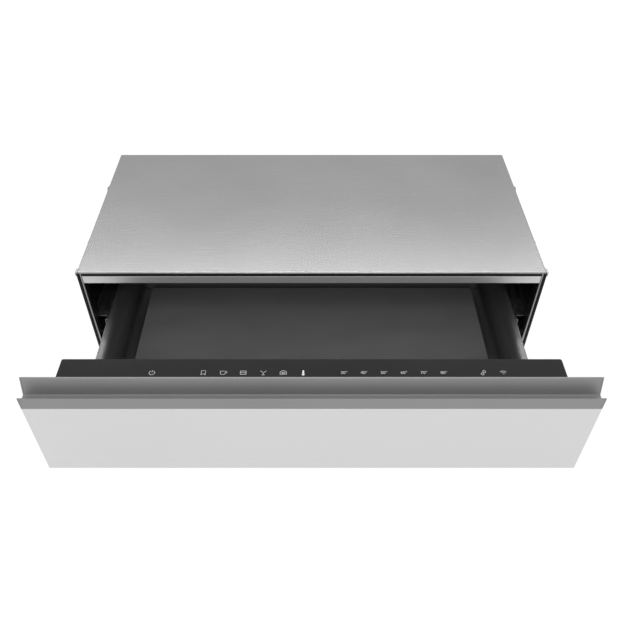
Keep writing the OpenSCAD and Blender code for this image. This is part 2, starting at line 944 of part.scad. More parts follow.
module end_caps() {
    color("darkgray")
        on_both_sides()
            along_x(front_w / 2 - end_cap_t, front_w / 2)
                grip_outline();
}

// Controls

module control_housing() {
    color(dark)
        difference() {
            slab([-control_x, front_back, control_low], [control_x, control_rear, control_under]);
            slab([plate - control_x, front_back + plate, control_low + plate],
                 [control_x - plate, control_rear - plate, control_under + CUT]);
        }
}

module control_glass() {
    color("#37383a")
        slab([-control_x, front_back, control_under], [control_x, control_rear, control_top]);
}

module control_board() {
    color("darkgreen") {
        slab([-board_l / 2, board_y, board_low], [board_l / 2, board_y + board_w, board_top]);
        for (i = [-2:2])
            translate([i * post_pitch, board_y + board_w / 2, control_low + plate])
                cylinder(d = post_d, h = board_low - control_low - plate);
        for (i = [-2:1])
            translate([(i + 0.5) * post_pitch - chip_l / 2, board_y + board_w / 4, board_low - chip_h])
                cube([chip_l, board_w / 2, chip_h]);
    }
}

function key_row(first, count) = [for (i = [0:count - 1]) first + i * key_pitch];

module touch_springs() {
    keys = concat([power_key_x], key_row(programme_key_x, 6), key_row(heat_key_x, 6), key_row(pair_key_x, 2));
    color("goldenrod")
        for (x = keys)
            translate([x, front_back + key_y, board_top])
                cylinder(d = spring_d, h = spring_h);
}

// Rear service box

function service_screw_zs() = [service_z + service_h / 5, service_top - service_h / 5];

module service_cover() {
    flange_x1 = service_x + service_flange;
    color(steel)
        difference() {
            union() {
                slab([-service_x, casing_d, service_z], [service_x, service_back - plate, service_top]);
                slab([-flange_x1, casing_d, service_z], [flange_x1, casing_d + plate, service_top]);
            }
            slab([plate - service_x, casing_d - CUT, service_z + plate],
                 [service_x - plate, service_back, service_top - plate]);
            on_both_sides()
                for (z = service_screw_zs())
                    bar_y(service_x + service_flange / 2, casing_d - CUT, casing_d + plate + CUT, z,
                          lid_screw_d + 2 * screw_play);
        }
}

// Rear wall of the service box, spot-welded on
module vent_plate() {
    color(steel)
        difference() {
            slab([-service_x, service_back - plate, service_z], [service_x, service_back, service_top]);
            for (i = [0:vent_count - 1])
                slab([(i - (vent_count - 1) / 2) * vent_pitch - vent_w / 2,
                      service_back - plate - CUT, fan_z - vent_h / 2],
                     [(i - (vent_count - 1) / 2) * vent_pitch + vent_w / 2,
                      service_back + CUT, fan_z + vent_h / 2]);
            bar_y(gland_x, service_back - plate - CUT, service_back + CUT, gland_z, gland_d + 2 * screw_play);
        }
}

module service_screws() {
    head_y = casing_d + plate;
    color(grey)
        on_both_sides()
            for (z = service_screw_zs()) {
                bar_y(service_x + service_flange / 2, head_y, head_y + screw_head_h, z, lid_screw_head_d);
                bar_y(service_x + service_flange / 2, rear_y, head_y, z, lid_screw_d);
            }
}

module fan_duct() {
    arm_w = 5;
    cup_d = motor_d + 2 * duct_wall;
    back_y = casing_d + duct_l;
    color(grey)
        difference() {
            bar_y(0, casing_d, back_y, fan_z, duct_d + 2 * duct_wall);
            difference() {
                bar_y(0, casing_d - CUT, back_y + CUT, fan_z, duct_d);
                for (turn = [45, 135])
                    translate([0, 0, fan_z])
                        rotate([0, turn, 0])
                            slab([-duct_d, back_y - duct_wall, -arm_w / 2], [duct_d, back_y, arm_w / 2]);
                bar_y(0, back_y - duct_wall, back_y, fan_z, cup_d);
            }
            bar_y(0, casing_d, back_y + CUT, fan_z, shaft_hole_d);
            bar_x(-duct_d, duct_d, ring_y, fan_z, ring_leg_d + 2 * screw_play);
        }
}

module fan_motor() {
    color(dark)
        difference() {
            union() {
                bar_y(0, casing_d + duct_l, motor_y + motor_l, fan_z, motor_d);
                bar_y(0, motor_y + motor_l, motor_y + motor_l + shaft_nose / 2, fan_z, motor_d / 2);
            }
            bar_y(0, casing_d + duct_l - CUT, motor_y + shaft_depth, fan_z, shaft_d + 2 * shaft_play);
        }
}

module fan_wheel() {
    blade_l = wheel_l / cos(blade_pitch);
    color(black) {
        intersection() {
            bar_y(0, wheel_y, wheel_y + wheel_l, fan_z, wheel_d);
            union() {
                bar_y(0, wheel_y, wheel_y + wheel_l, fan_z, hub_d);
                for (i = [0:blades - 1])
                    translate([0, wheel_y + wheel_l / 2, fan_z])
                        rotate([0, i * 360 / blades, 0])
                            rotate([blade_pitch, 0, 0])
                                slab([0, -blade_l / 2, -blade_t / 2], [wheel_d, blade_l / 2, blade_t / 2]);
            }
        }
        bar_y(0, wheel_y - shaft_nose, motor_y + shaft_depth - CUT, fan_z, shaft_d);
    }
}

module ring_heater() {
    leg_x = duct_d / 2 + duct_wall + 6;
    color(dark)
        translate([0, ring_y, fan_z]) {
            rotate([90, 0, 0])
                rotate_extrude()
                    translate([ring_d / 2, 0])
                        circle(d = ring_tube_d);
            on_both_sides()
                bar_x(ring_d / 2, leg_x, 0, 0, ring_leg_d);
        }
}

module fan_grille() {
    rings = floor((grille_hole_d / 2 - grille_bar) / grille_pitch);
    y0 = rear_y - grille_t;
    color(steel)
        difference() {
            bar_y(0, y0, rear_y, fan_z, grille_d);
            difference() {
                for (i = [0:rings - 1])
                    difference() {
                        bar_y(0, y0 - CUT, rear_y + CUT, fan_z, grille_hole_d - 2 * i * grille_pitch);
                        bar_y(0, y0 - 2 * CUT, rear_y + 2 * CUT, fan_z,
                              grille_hole_d - 2 * (i + 1) * grille_pitch + 2 * grille_bar);
                    }
                for (turn = [0, 90])
                    translate([0, 0, fan_z])
                        rotate([0, turn, 0])
                            slab([-grille_d, y0 - CUT, -grille_bar / 2], [grille_d, rear_y + CUT, grille_bar / 2]);
            }
        }
}

module terminal_block() {
    poles = 5;
    pole_pitch = terminal_w / poles;
    x0 = gland_x - terminal_w / 2;
    color("ivory")
        difference() {
            slab([x0, casing_d, terminal_z], [x0 + terminal_w, casing_d + terminal_d, terminal_z + terminal_h]);
            for (i = [0:poles - 1])
                translate([x0 + (i + 0.5) * pole_pitch, casing_d + terminal_d - 4, terminal_z + terminal_h / 2])
                    rotate([-90, 0, 0])
                        cylinder(d = screw_d, h = 4 + CUT);
        }
}

module power_board() {
    board_y0 = casing_d + post_l;
    color("darkgreen")
        slab([power_x, board_y0, power_z], [power_x + power_w, board_y0 + board_t, power_z + power_h]);
    color(black) {
        for (x = [power_x + post_d, power_x + power_w - post_d])
            for (z = [power_z + post_d, power_z + power_h - post_d])
                bar_y(x, casing_d, board_y0, z, post_d);
        slab([power_x + power_w / 4, board_y0 + board_t, power_z + power_h / 3],
             [power_x + power_w / 2, board_y0 + board_t + terminal_d, power_z + 2 * power_h / 3]);
    }
}

module cable_gland() {
    nut_l = 4;
    flange_l = 3;
    y0 = service_back - plate - nut_l;
    color(black)
        difference() {
            union() {
                bar_y(gland_x, y0, y0 + gland_l, gland_z, gland_d);
                bar_y(gland_x, service_back, service_back + flange_l, gland_z, gland_flange_d);
                translate([gland_x, service_back - plate, gland_z])
                    rotate([90, 0, 0])
                        cylinder(d = gland_flange_d, h = nut_l, $fn = 6);
            }
            bar_y(gland_x, y0 - CUT, y0 + gland_l + CUT, gland_z, gland_bore_d);
        }
}

module stop_buffers() {
    color(black)
        on_both_sides()
            for (z = [buffer_low, buffer_low + buffer_rise])
                bar_y(buffer_x, rear_y - rear_gap + buffer_gap, rear_y, z, buffer_d);
}

base_plate();
side_wall(LEFT);  // side_wall_left
side_wall(RIGHT);  // side_wall_right
rear_panel();
lid();
lid_screws();
lid_clips();
mouth_seal();
mouth_bar();
mouth_flange(LEFT);  // mouth_flange_left
mouth_flange(RIGHT);  // mouth_flange_right
mouth_sill();
runner_carrier(LEFT);  // runner_carrier_left
runner_carrier(RIGHT);  // runner_carrier_right
runner_outer(LEFT);  // runner_outer_left
runner_outer(RIGHT);  // runner_outer_right
outer_cage(LEFT);  // outer_cage_left
outer_cage(RIGHT);  // outer_cage_right
runner_mid(LEFT);  // runner_mid_left
runner_mid(RIGHT);  // runner_mid_right
inner_cage(LEFT);  // inner_cage_left
inner_cage(RIGHT);  // inner_cage_right
runner_inner(LEFT);  // runner_inner_left
runner_inner(RIGHT);  // runner_inner_right
drawer_bracket(LEFT);  // drawer_bracket_left
drawer_bracket(RIGHT);  // drawer_bracket_right
tray();
glass_floor();
floor_heater();
floor_insulation();
bottom_pan();
temperature_sensor();
cheek_bracket(LEFT);  // cheek_bracket_left
cheek_bracket(RIGHT);  // cheek_bracket_right
front_screws();
back_pan();
front_insulation();
face_panel();
grip_profile();
end_caps();
control_housing();
control_glass();
control_board();
touch_springs();
service_cover();
vent_plate();
service_screws();
fan_duct();
fan_motor();
fan_wheel();
ring_heater();
fan_grille();
terminal_block();
power_board();
cable_gland();
stop_buffers();
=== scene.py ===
# %% [markdown]
# # A built-in warming drawer
# This lesson dresses the CAD model of a kitchen warming drawer: a low steel
# casing, a wide front with a finger groove, a strip of touch keys and a heated
# tray on ball runners. The CAD gives every part its place, so each piece here
# is modelled around its box. The drawer stands pulled out, as in the photograph.

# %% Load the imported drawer
import json
from math import cos, pi, radians, sin

import bmesh
import bpy
from mathutils import Euler, Matrix, Vector


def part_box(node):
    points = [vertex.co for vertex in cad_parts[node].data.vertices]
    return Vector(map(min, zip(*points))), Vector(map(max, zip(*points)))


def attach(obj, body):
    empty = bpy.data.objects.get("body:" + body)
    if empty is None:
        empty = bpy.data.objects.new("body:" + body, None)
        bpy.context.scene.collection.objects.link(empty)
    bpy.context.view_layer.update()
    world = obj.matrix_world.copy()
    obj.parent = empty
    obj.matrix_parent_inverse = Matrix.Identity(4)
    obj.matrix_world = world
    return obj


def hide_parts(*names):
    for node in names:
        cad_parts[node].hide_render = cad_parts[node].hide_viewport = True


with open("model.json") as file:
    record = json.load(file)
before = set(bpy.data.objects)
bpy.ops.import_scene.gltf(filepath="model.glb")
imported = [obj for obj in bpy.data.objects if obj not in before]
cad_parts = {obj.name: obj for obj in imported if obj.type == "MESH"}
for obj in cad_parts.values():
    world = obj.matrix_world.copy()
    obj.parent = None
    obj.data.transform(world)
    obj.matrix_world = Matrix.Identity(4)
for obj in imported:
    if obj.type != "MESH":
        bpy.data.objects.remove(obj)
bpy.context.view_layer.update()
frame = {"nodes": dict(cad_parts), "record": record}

record = frame["record"]
body_of = {node: body for body, nodes in record["behaviour"]["bodies"].items() for node in nodes}
slot_of = {part["node"]: part["material_slot"] for part in record["subparts"]}

# %% [markdown]
# ## Camera
# A picture's vanishing points tell where it was taken from. These give a camera
# that looks down at 44 degrees, 0.6 m in front of the casing. An object could
# also be fitted to the picture by eye, but a fixed camera lets every edge of a
# render be compared with the same edge of the photograph.

# %% Set the camera
view = bpy.data.cameras.new("view_from_above")
view.lens = 39.309
view.sensor_width = 36
view.shift_x = 0.00056
camera = bpy.data.objects.new("view_from_above", view)
camera.location = (0, -0.6033, 0.6604)
camera.rotation_euler = (radians(45.93), 0, 0)
bpy.context.scene.collection.objects.link(camera)
bpy.context.scene.camera = camera
bpy.context.scene.view_settings.view_transform = "Standard"
print("camera at", tuple(camera.location))

# %% [markdown]
# ## Helpers for shader nodes
# Every finish below is built from the same few moves: add a node, join two
# nodes, and let a noise pattern change the colour, the gloss or the relief.
# Each could be built by hand in the shader editor. As functions, they keep each
# finish down to what makes it special.

# %% Add nodes and patterns
MM = 0.001
NOISE_LOW, NOISE_HIGH = 0.3, 0.7


def add(tree, kind, sockets=None, **settings):
    node = tree.nodes.new("ShaderNode" + kind)
    for name, value in (sockets or {}).items():
        node.inputs[name].default_value = value
    for name, value in settings.items():
        setattr(node, name, value)
    return node


def new_finish(name, colour, roughness, **sockets):
    """A Principled material whose plain values sit on the shader's own sockets."""
    material = bpy.data.materials.new(name)
    material.use_nodes = True
    shader = material.node_tree.nodes["Principled BSDF"]
    shader.inputs["Base Color"].default_value = (*colour, 1)
    shader.inputs["Roughness"].default_value = roughness
    for socket, value in sockets.items():
        shader.inputs[socket.replace("_", " ")].default_value = value
    return material


def shader_of(material):
    return material.node_tree.nodes["Principled BSDF"]


def grain(material, stretch, detail=4.0):
    """Noise on the piece's own coordinates. stretch gives its waves a metre along X, Y and Z."""
    tree = material.node_tree
    place = add(tree, "TexCoord")
    scale = add(tree, "Mapping", {"Scale": stretch})
    noise = add(tree, "TexNoise", {"Scale": 1.0, "Detail": detail, "Roughness": 0.6})
    tree.links.new(place.outputs["Object"], scale.inputs["Vector"])
    tree.links.new(scale.outputs["Vector"], noise.inputs["Vector"])
    return noise.outputs[0]


def spangle(material, size_mm):
    """The crystals of a zinc coat: cells that each have a grey of their own."""
    tree = material.node_tree
    place = add(tree, "TexCoord")
    cells = add(tree, "TexVoronoi", {"Scale": 1 / (size_mm * MM)})
    shade = add(tree, "RGBToBW")
    tree.links.new(place.outputs["Object"], cells.inputs["Vector"])
    tree.links.new(cells.outputs["Color"], shade.inputs["Color"])
    return shade.outputs[0]


def tint(material, pattern, dark, light, low=NOISE_LOW, high=NOISE_HIGH):
    """Colours from dark to light, as the pattern goes from low to high."""
    tree = material.node_tree
    ramp = add(tree, "ValToRGB")
    for stop, colour, at in zip(ramp.color_ramp.elements, (dark, light), (low, high)):
        stop.color = (*colour, 1)
        stop.position = at
    tree.links.new(pattern, ramp.inputs[0])
    tree.links.new(ramp.outputs["Color"], shader_of(material).inputs["Base Color"])


def vary_gloss(material, pattern, smooth, rough):
    tree = material.node_tree
    span = add(tree, "MapRange", {"From Min": NOISE_LOW, "From Max": NOISE_HIGH,
                                  "To Min": smooth, "To Max": rough})
    tree.links.new(pattern, span.inputs["Value"])
    tree.links.new(span.outputs["Result"], shader_of(material).inputs["Roughness"])


def relief(material, pattern, depth_mm):
    tree = material.node_tree
    bump = add(tree, "Bump", {"Strength": 1.0, "Distance": depth_mm * MM})
    tree.links.new(pattern, bump.inputs["Height"])
    tree.links.new(bump.outputs["Normal"], shader_of(material).inputs["Normal"])


def grey(value, blue=0.0):
    """A grey, with its blue raised by a share."""
    return (value, value, value * (1 + blue))


def times(colour, share):
    """A darker or lighter kind of a colour."""
    return [c * share for c in colour]


print("shader helpers ready, noise runs from", NOISE_LOW, "to", NOISE_HIGH)

# %% [markdown]
# ## Light and floor
# A catalogue picture is lit by large soft boxes in a white room. One bright wall
# of light could do it too, but then the lid would be one flat grey. Here the room
# is white for the camera and for reflections, and dimmer as a source of light. A
# wide box behind and above draws the bright front of the lid, and one above in
# front keeps the front and the inside of the tray readable.

# %% Make the room
scene = bpy.context.scene
world = bpy.data.worlds.new("white_room")
scene.world = world
world.use_nodes = True
ROOM_LIGHT = 0.62


def seen_or_reflected(tree):
    """1 for rays from the camera, from gloss and through glass, else 0."""
    path = add(tree, "LightPath")
    either = add(tree, "Math", operation="MAXIMUM")
    any_of = add(tree, "Math", operation="MAXIMUM")
    tree.links.new(path.outputs["Is Camera Ray"], either.inputs[0])
    tree.links.new(path.outputs["Is Glossy Ray"], either.inputs[1])
    tree.links.new(either.outputs[0], any_of.inputs[0])
    tree.links.new(path.outputs["Is Transmission Ray"], any_of.inputs[1])
    return any_of.outputs[0]


tree = world.node_tree
lit = tree.nodes["Background"]
lit.inputs["Color"].default_value = (1, 1, 1, 1)
lit.inputs["Strength"].default_value = ROOM_LIGHT
white = add(tree, "Background", {"Color": (1, 1, 1, 1), "Strength": 1.0})
either = add(tree, "MixShader")
tree.links.new(seen_or_reflected(tree), either.inputs[0])
tree.links.new(lit.outputs[0], either.inputs[1])
tree.links.new(white.outputs[0], either.inputs[2])
tree.links.new(either.outputs[0], tree.nodes["World Output"].inputs["Surface"])


def soft_box(name, at, aim, width, height, watts):
    """A lit rectangle at a place, turned to look at another. Lengths are in metres."""
    lamp = bpy.data.lights.new(name, "AREA")
    lamp.shape = "RECTANGLE"
    lamp.size, lamp.size_y = width, height
    lamp.energy = watts
    piece = bpy.data.objects.new(name, lamp)
    piece.location = at
    piece.rotation_euler = (Vector(aim) - Vector(at)).to_track_quat("-Z", "Y").to_euler()
    scene.collection.objects.link(piece)
    print(name, round(watts / (pi * width * height), 2), "W/m2/sr")


soft_box("box_behind", at=(0, 1.752, 1.923), aim=(0, 0, 0.14), width=4.2, height=0.22, watts=19)
soft_box("box_above", at=(0, -1.6, 2.0), aim=(0, -0.1, 0.1), width=1.5, height=1.0, watts=17)

# %% [markdown]
# The floor is a large pale sheet of paper. It lies a hair below the drawer, so
# that the two never share a plane. For the camera it glows almost white, and its
# own grey is only a small part, which is enough to keep a soft shadow. Light that
# it throws back on the drawer comes from a plain pale surface.

# %% Lay the floor
FLOOR_WIDE, FLOOR_BELOW = 12, 0.0004
bpy.ops.object.select_all(action="DESELECT")
bpy.ops.mesh.primitive_plane_add(size=FLOOR_WIDE, location=(0, 0, -FLOOR_BELOW))
floor = bpy.context.active_object
floor.name = "pale_floor"
paper = bpy.data.materials.new("pale_floor")
paper.use_nodes = True
tree = paper.node_tree
tree.nodes.remove(tree.nodes["Principled BSDF"])
plain = add(tree, "BsdfDiffuse", {"Color": (0.85, 0.85, 0.85, 1)})
soft = add(tree, "BsdfDiffuse", {"Color": (0.16, 0.16, 0.16, 1)})
glow = add(tree, "Emission", {"Color": (1, 1, 1, 1), "Strength": 0.9})
shown = add(tree, "AddShader")
choice = add(tree, "MixShader")
tree.links.new(glow.outputs[0], shown.inputs[0])
tree.links.new(soft.outputs[0], shown.inputs[1])
tree.links.new(seen_or_reflected(tree), choice.inputs[0])
tree.links.new(plain.outputs[0], choice.inputs[1])
tree.links.new(shown.outputs[0], choice.inputs[2])
tree.links.new(choice.outputs[0], tree.nodes["Material Output"].inputs["Surface"])
floor.data.materials.append(paper)
print("floor laid,", FLOOR_WIDE, "m wide")

# %% [markdown]
# ## Finishes
# The casing is satin steel, brushed along its width. Fine brushing is made by
# noise that changes fast across the lines and slowly along them. A picture of
# real metal would do as well, but a pattern made from nodes never repeats and
# stays sharp. The zinc-coated hardware inside shows faint crystals instead. Its
# grey is darker than real zinc, as painted shade for the dark inside of the casing.

# %% Metal finishes
BRUSH_GLOSS, BRUSH_DEPTH, ZINC_DEPTH = 0.02, 0.0003, 0.01


def brushed(name, colour, roughness, lines, metallic=1.0, spread=0.05):
    """Brushed metal. lines is the stretch of the brush marks, short across them."""
    material = new_finish(name, colour, roughness, Metallic=metallic)
    marks = grain(material, lines, detail=5)
    clouds = grain(material, (6, 6, 6), detail=2)
    tint(material, clouds, times(colour, 1 - spread), times(colour, 1 + spread))
    vary_gloss(material, marks, roughness * (1 - BRUSH_GLOSS), roughness * (1 + BRUSH_GLOSS))
    relief(material, marks, BRUSH_DEPTH)
    return material


def zinc(name, colour, roughness, size_mm):
    """Zinc-coated steel, with faint crystals of the given size."""
    material = new_finish(name, colour, roughness, Metallic=1.0)
    cells = spangle(material, size_mm)
    tint(material, cells, times(colour, 0.9), times(colour, 1.08), low=0.1, high=0.9)
    vary_gloss(material, cells, roughness * 0.9, roughness * 1.2)
    relief(material, grain(material, (900, 900, 900), detail=2), ZINC_DEPTH)
    return material


LONG, FINE = 12, 1400
ALONG_X, ALONG_Y, ALONG_Z = (LONG, FINE, FINE), (FINE, LONG, FINE), (FINE, FINE, LONG)
casing_x = brushed("casing_steel_across", grey(0.26, 0.005), 0.27, ALONG_X)
casing_y = brushed("casing_steel_along", grey(0.26, 0.005), 0.27, ALONG_Y)
frame_metal = brushed("frame_metal", grey(0.7), 0.45, ALONG_X, metallic=0.75)
flange_metal = brushed("flange_metal", grey(0.3), 0.3, ALONG_Z)
tray_steel = brushed("tray_steel", grey(0.18), 0.38, ALONG_Y, metallic=0.85)
profile_metal = brushed("profile_metal", grey(0.28, 0.01), 0.47, ALONG_X, metallic=0.5, spread=0.03)
sensor_metal = brushed("sensor_metal", grey(0.6), 0.3, ALONG_X)
# Darker than real zinc: painted shade for the runners and brackets deep inside the casing.
zinc_steel = zinc("zinc_steel", (0.22, 0.224, 0.232), 0.45, size_mm=7)
heater_tube = brushed("heater_tube", (0.16, 0.15, 0.15), 0.45, (300, 300, 300))
spring_brass = brushed("spring_brass", (0.72, 0.55, 0.25), 0.3, (500, 500, 500))
print("metal finishes made")

# %% [markdown]
# The rest are coats, glass, rubber and plastics. Each has its own small relief:
# orange peel on paint, a dull skin on rubber, a fine spark texture on moulded
# plastic, fibres in the wool. The dark glass gets faint wiping marks in its
# gloss, because a perfect mirror looks like empty space in a render.

# %% Glass, paint, rubber and plastic finishes


def coated(name, colour, roughness, pitch, depth_mm, spread=0.06, **sockets):
    """Paint, rubber or moulded plastic: one colour with clouds, and a fine relief."""
    material = new_finish(name, colour, roughness, **sockets)
    skin = grain(material, (pitch, pitch, pitch), detail=3)
    clouds = grain(material, (9, 9, 9), detail=2)
    tint(material, clouds, times(colour, 1 - spread), times(colour, 1 + spread))
    vary_gloss(material, skin, roughness * 0.85, roughness * 1.15)
    relief(material, skin, depth_mm)
    return material


def dark_glass(name, colour, smooth, rough, ior):
    """Dark glass, with faint wiping marks in its gloss."""
    material = new_finish(name, colour, smooth, IOR=ior)
    wiped = grain(material, (14, 30, 14), detail=3)
    tint(material, wiped, times(colour, 0.94), times(colour, 1.06))
    vary_gloss(material, wiped, smooth, rough)
    return material


control_glass = dark_glass("control_glass", grey(0.004, 0.02), 0.04, 0.08, 1.385)
floor_glass = dark_glass("floor_glass", grey(0.17, 0.01), 0.28, 0.34, 1.5)
face_glass = new_finish("face_glass", grey(0.66), 0.42, Metallic=0.35, Coat_Weight=0.5, Coat_Roughness=0.06)
flakes = grain(face_glass, (3500, 3500, 3500), detail=1)
tint(face_glass, flakes, grey(0.685), grey(0.72))
vary_gloss(face_glass, grain(face_glass, (5, 5, 5)), 0.38, 0.46)
# Near-black rubber with little gloss; its black is also painted shade for the narrow gap round the opening.
seal_rubber = coated("seal_rubber", grey(0.008), 0.7, 700, 0.03, Specular_IOR_Level=0.25)
housing_paint = coated("housing_paint", grey(0.02), 0.42, 450, 0.02)
black_plastic = coated("black_plastic", grey(0.02), 0.5, 1500, 0.03)
motor_paint = coated("motor_paint", grey(0.05), 0.35, 450, 0.02)
terminal_plastic = coated("terminal_plastic", (0.72, 0.7, 0.63), 0.5, 1500, 0.02)
board_mask = coated("board_mask", (0.02, 0.13, 0.05), 0.35, 260, 0.05, spread=0.2)
mineral_wool = coated("mineral_wool", (0.6, 0.53, 0.36), 0.95, 420, 0.9, spread=0.2)
key_print = coated("key_print", grey(0.5), 0.6, 900, 0.01)
lit_print = coated("lit_print", grey(0.95), 0.5, 900, 0.01)
finishes = {
    "casing_steel": casing_x, "frame_metal": frame_metal, "seal_rubber": seal_rubber,
    "zinc_steel": zinc_steel, "tray_steel": tray_steel, "floor_glass": floor_glass,
    "control_glass": control_glass, "face_glass": face_glass, "profile_metal": profile_metal,
    "housing_steel": housing_paint, "mineral_wool": mineral_wool, "heater_tube": heater_tube,
    "sensor_metal": sensor_metal, "board": board_mask, "spring_brass": spring_brass,
    "black_plastic": black_plastic, "terminal_plastic": terminal_plastic, "motor_metal": motor_paint,
}
print("finishes:", len(finishes))

# %% [markdown]
# ## Helpers for modelling
# The pieces are modelled as by hand: a block is added at its size, its faces and
# edges are picked by their place, and edit-mode tools shape it. Points and sizes
# are in millimetres here, as on a drawing, and become metres at the last step.

# %% Add a block round a CAD part


def corners(node):
    """Lowest and highest corner of a CAD node, in millimetres."""
    low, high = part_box(node)
    return low / MM, high / MM


def select_none():
    if bpy.context.mode != "OBJECT":
        bpy.ops.object.mode_set(mode="OBJECT")
    bpy.ops.object.select_all(action="DESELECT")


def select_only(piece):
    select_none()
    piece.select_set(True)
    bpy.context.view_layer.objects.active = piece


def named(name):
    """Takes the piece that was just added, and puts its place into its mesh."""
    piece = bpy.context.active_object
    piece.name = piece.data.name = name
    select_only(piece)
    bpy.ops.object.transform_apply(location=True, rotation=True, scale=True)
    return piece


def block(name, low, high):
    low, high = Vector(low) * MM, Vector(high) * MM
    select_none()
    bpy.ops.mesh.primitive_cube_add(size=1, location=(low + high) / 2, scale=high - low)
    return named(name)


lid_size = corners("lid")[1] - corners("lid")[0]
print("the lid measures", [round(size, 1) for size in lid_size], "mm")

# %% [markdown]
# A click on an edge becomes a test of its place and its direction. Such a test
# finds the same edges again after a size has changed, which a list of numbers
# wouldn't. The picked faces or edges are then bevelled, pulled out or deleted.

# %% Pick faces and edges, and shape them
X, Y, Z = 0, 1, 2
NEAR = 0.1


def along(way, axis, least=0.99):
    """True for an edge that runs along an axis, and for a face that looks along it.
    A smaller least also takes the first edges of a round, which turn away a little."""
    return abs(way[axis]) > least


def pick(piece, kind, test):
    """Goes into edit mode and selects the faces or edges for which test(middle, way) holds.
    way is a face's normal, or an edge's direction."""
    if bpy.context.mode != "EDIT_MESH":
        select_only(piece)
        bpy.ops.object.mode_set(mode="EDIT")
    bpy.ops.mesh.select_mode(type=kind)
    bpy.ops.mesh.select_all(action="DESELECT")
    shape = bmesh.from_edit_mesh(piece.data)
    for part in shape.faces if kind == "FACE" else shape.edges:
        if kind == "FACE":
            middle, way = part.calc_center_median(), part.normal
        else:
            one, two = (corner.co for corner in part.verts)
            middle, way = (one + two) / 2, (two - one).normalized()
        part.select_set(bool(test(middle / MM, way)))
    shape.select_flush_mode()
    bmesh.update_edit_mesh(piece.data)


def open_up(piece, test):
    pick(piece, "FACE", test)
    bpy.ops.mesh.delete(type="FACE")


def round_edges(piece, radius, steps, test):
    pick(piece, "EDGE", test)
    bpy.ops.mesh.bevel(offset=radius * MM, segments=steps, affect="EDGES")


def pull(kind, x=0.0, y=0.0, z=0.0):
    """Extrudes what is picked, by millimetres."""
    move = {"value": (x * MM, y * MM, z * MM)}
    if kind == "EDGE":
        bpy.ops.mesh.extrude_edges_move(TRANSFORM_OT_translate=move)
    else:
        bpy.ops.mesh.extrude_region_move(TRANSFORM_OT_translate=move)


def slice_at(piece, at, way):
    """Cuts all faces along a plane, and keeps both sides."""
    if bpy.context.mode != "EDIT_MESH":
        select_only(piece)
        bpy.ops.object.mode_set(mode="EDIT")
    bpy.ops.mesh.select_all(action="SELECT")
    bpy.ops.mesh.bisect(plane_co=Vector(at) * MM, plane_no=way)


print("places count as the same within", NEAR, "mm")

# %% [markdown]
# Bent sheet starts as a skin without thickness. All its faces have to look the
# same way before Solidify gives it a wall, or the wall changes sides half way.
# Real edges are never quite sharp, so a piece ends with a fine bevel.

# %% Turn a skin into sheet metal
SAME_CORNER = 0.01


def face_outwards(piece, up=1):
    """Merges doubled corners and turns all faces of an open skin the same way, the largest one up,
    or down where up is -1."""
    select_only(piece)
    bpy.ops.object.mode_set(mode="EDIT")
    bpy.ops.mesh.select_all(action="SELECT")
    bpy.ops.mesh.remove_doubles(threshold=SAME_CORNER * MM)
    bpy.ops.mesh.normals_make_consistent(inside=False)
    shape = bmesh.from_edit_mesh(piece.data)
    largest = max(shape.faces, key=lambda face: face.calc_area())
    if largest.normal.z * up < 0:
        bpy.ops.mesh.flip_normals()
    bpy.ops.object.mode_set(mode="OBJECT")


def modify(piece, kind, **settings):
    """Adds a modifier and applies it."""
    select_only(piece)
    modifier = piece.modifiers.new(kind.title(), kind)
    for name, value in settings.items():
        setattr(modifier, name, value)
    bpy.ops.object.modifier_apply(modifier=modifier.name)


def thicken(piece, sheet):
    """Gives a skin the thickness of its sheet, inwards."""
    modify(piece, "SOLIDIFY", thickness=sheet * MM, offset=-1, use_even_offset=True)


def soften(piece, width, steps=2, angle=40):
    """A small round on every sharp edge, which catches the light."""
    modify(piece, "BEVEL", width=width * MM, segments=steps, limit_method="ANGLE",
           angle_limit=radians(angle), miter_outer="MITER_ARC")


print("corners closer than", SAME_CORNER, "mm are merged")

# %% [markdown]
# What repeats is modelled once. Each copy has a mesh of its own, moved or mirrored
# in the mesh, so that every finished piece sits at the origin and its pattern
# stays where it is.

# %% Copy and join pieces


def join(pieces):
    select_only(pieces[0])
    for piece in pieces[1:]:
        piece.select_set(True)
    if len(pieces) > 1:
        bpy.ops.object.join()
    return pieces[0]


def copy_of(piece, name, matrix=None):
    """A copy with its own mesh, moved or mirrored in its mesh."""
    twin = bpy.data.objects.new(name, piece.data.copy())
    twin.data.name = name
    bpy.context.collection.objects.link(twin)
    if matrix is not None:
        twin.data.transform(matrix)
        if matrix.determinant() < 0:
            twin.data.flip_normals()
    return twin


def moved(x=0.0, y=0.0, z=0.0):
    return Matrix.Translation(Vector((x, y, z)) * MM)


MIRRORED = Matrix.Scale(-1, 4, (1, 0, 0))
print("mirrored across the plane X = 0")

# %% [markdown]
# A finished piece gets its shading and its finish. It rides on the body that moves
# it, and stands for its CAD part. Weighted normals keep a large face flat beside
# a fine bevel.

# %% Dress a finished piece
SMOOTH_ANGLE = 35


def dress(piece, *nodes, finish=None, body=None, slot=None):
    """Ends a piece: smooth shading, finish, the body that it rides on, and the nodes it stands for."""
    select_only(piece)
    bpy.ops.object.shade_smooth_by_angle(angle=radians(SMOOTH_ANGLE))
    modify(piece, "WEIGHTED_NORMAL", keep_sharp=True)
    slot = slot or slot_of[nodes[0]]
    piece.data.materials.clear()
    piece.data.materials.append(finish or finishes[slot])
    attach(piece, body or body_of[nodes[0]])
    if nodes:
        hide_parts(*nodes)
    print(piece.name, len(piece.data.polygons), "faces")


print("edges up to", SMOOTH_ANGLE, "degrees are shaded smooth")

# %% [markdown]
# ## Lid
# The lid is one sheet, folded down at both sides and rolled under at its front
# edge, so that nobody is cut by it. A plain slab would have the right outline,
# but not the soft bright line that a bend gives. So the sheet is a block with
# three faces taken off, and its bends are bevelled. The front dips a little, the
# edge is spun by half a turn to roll it under, and Solidify gives the sheet its
# thickness.

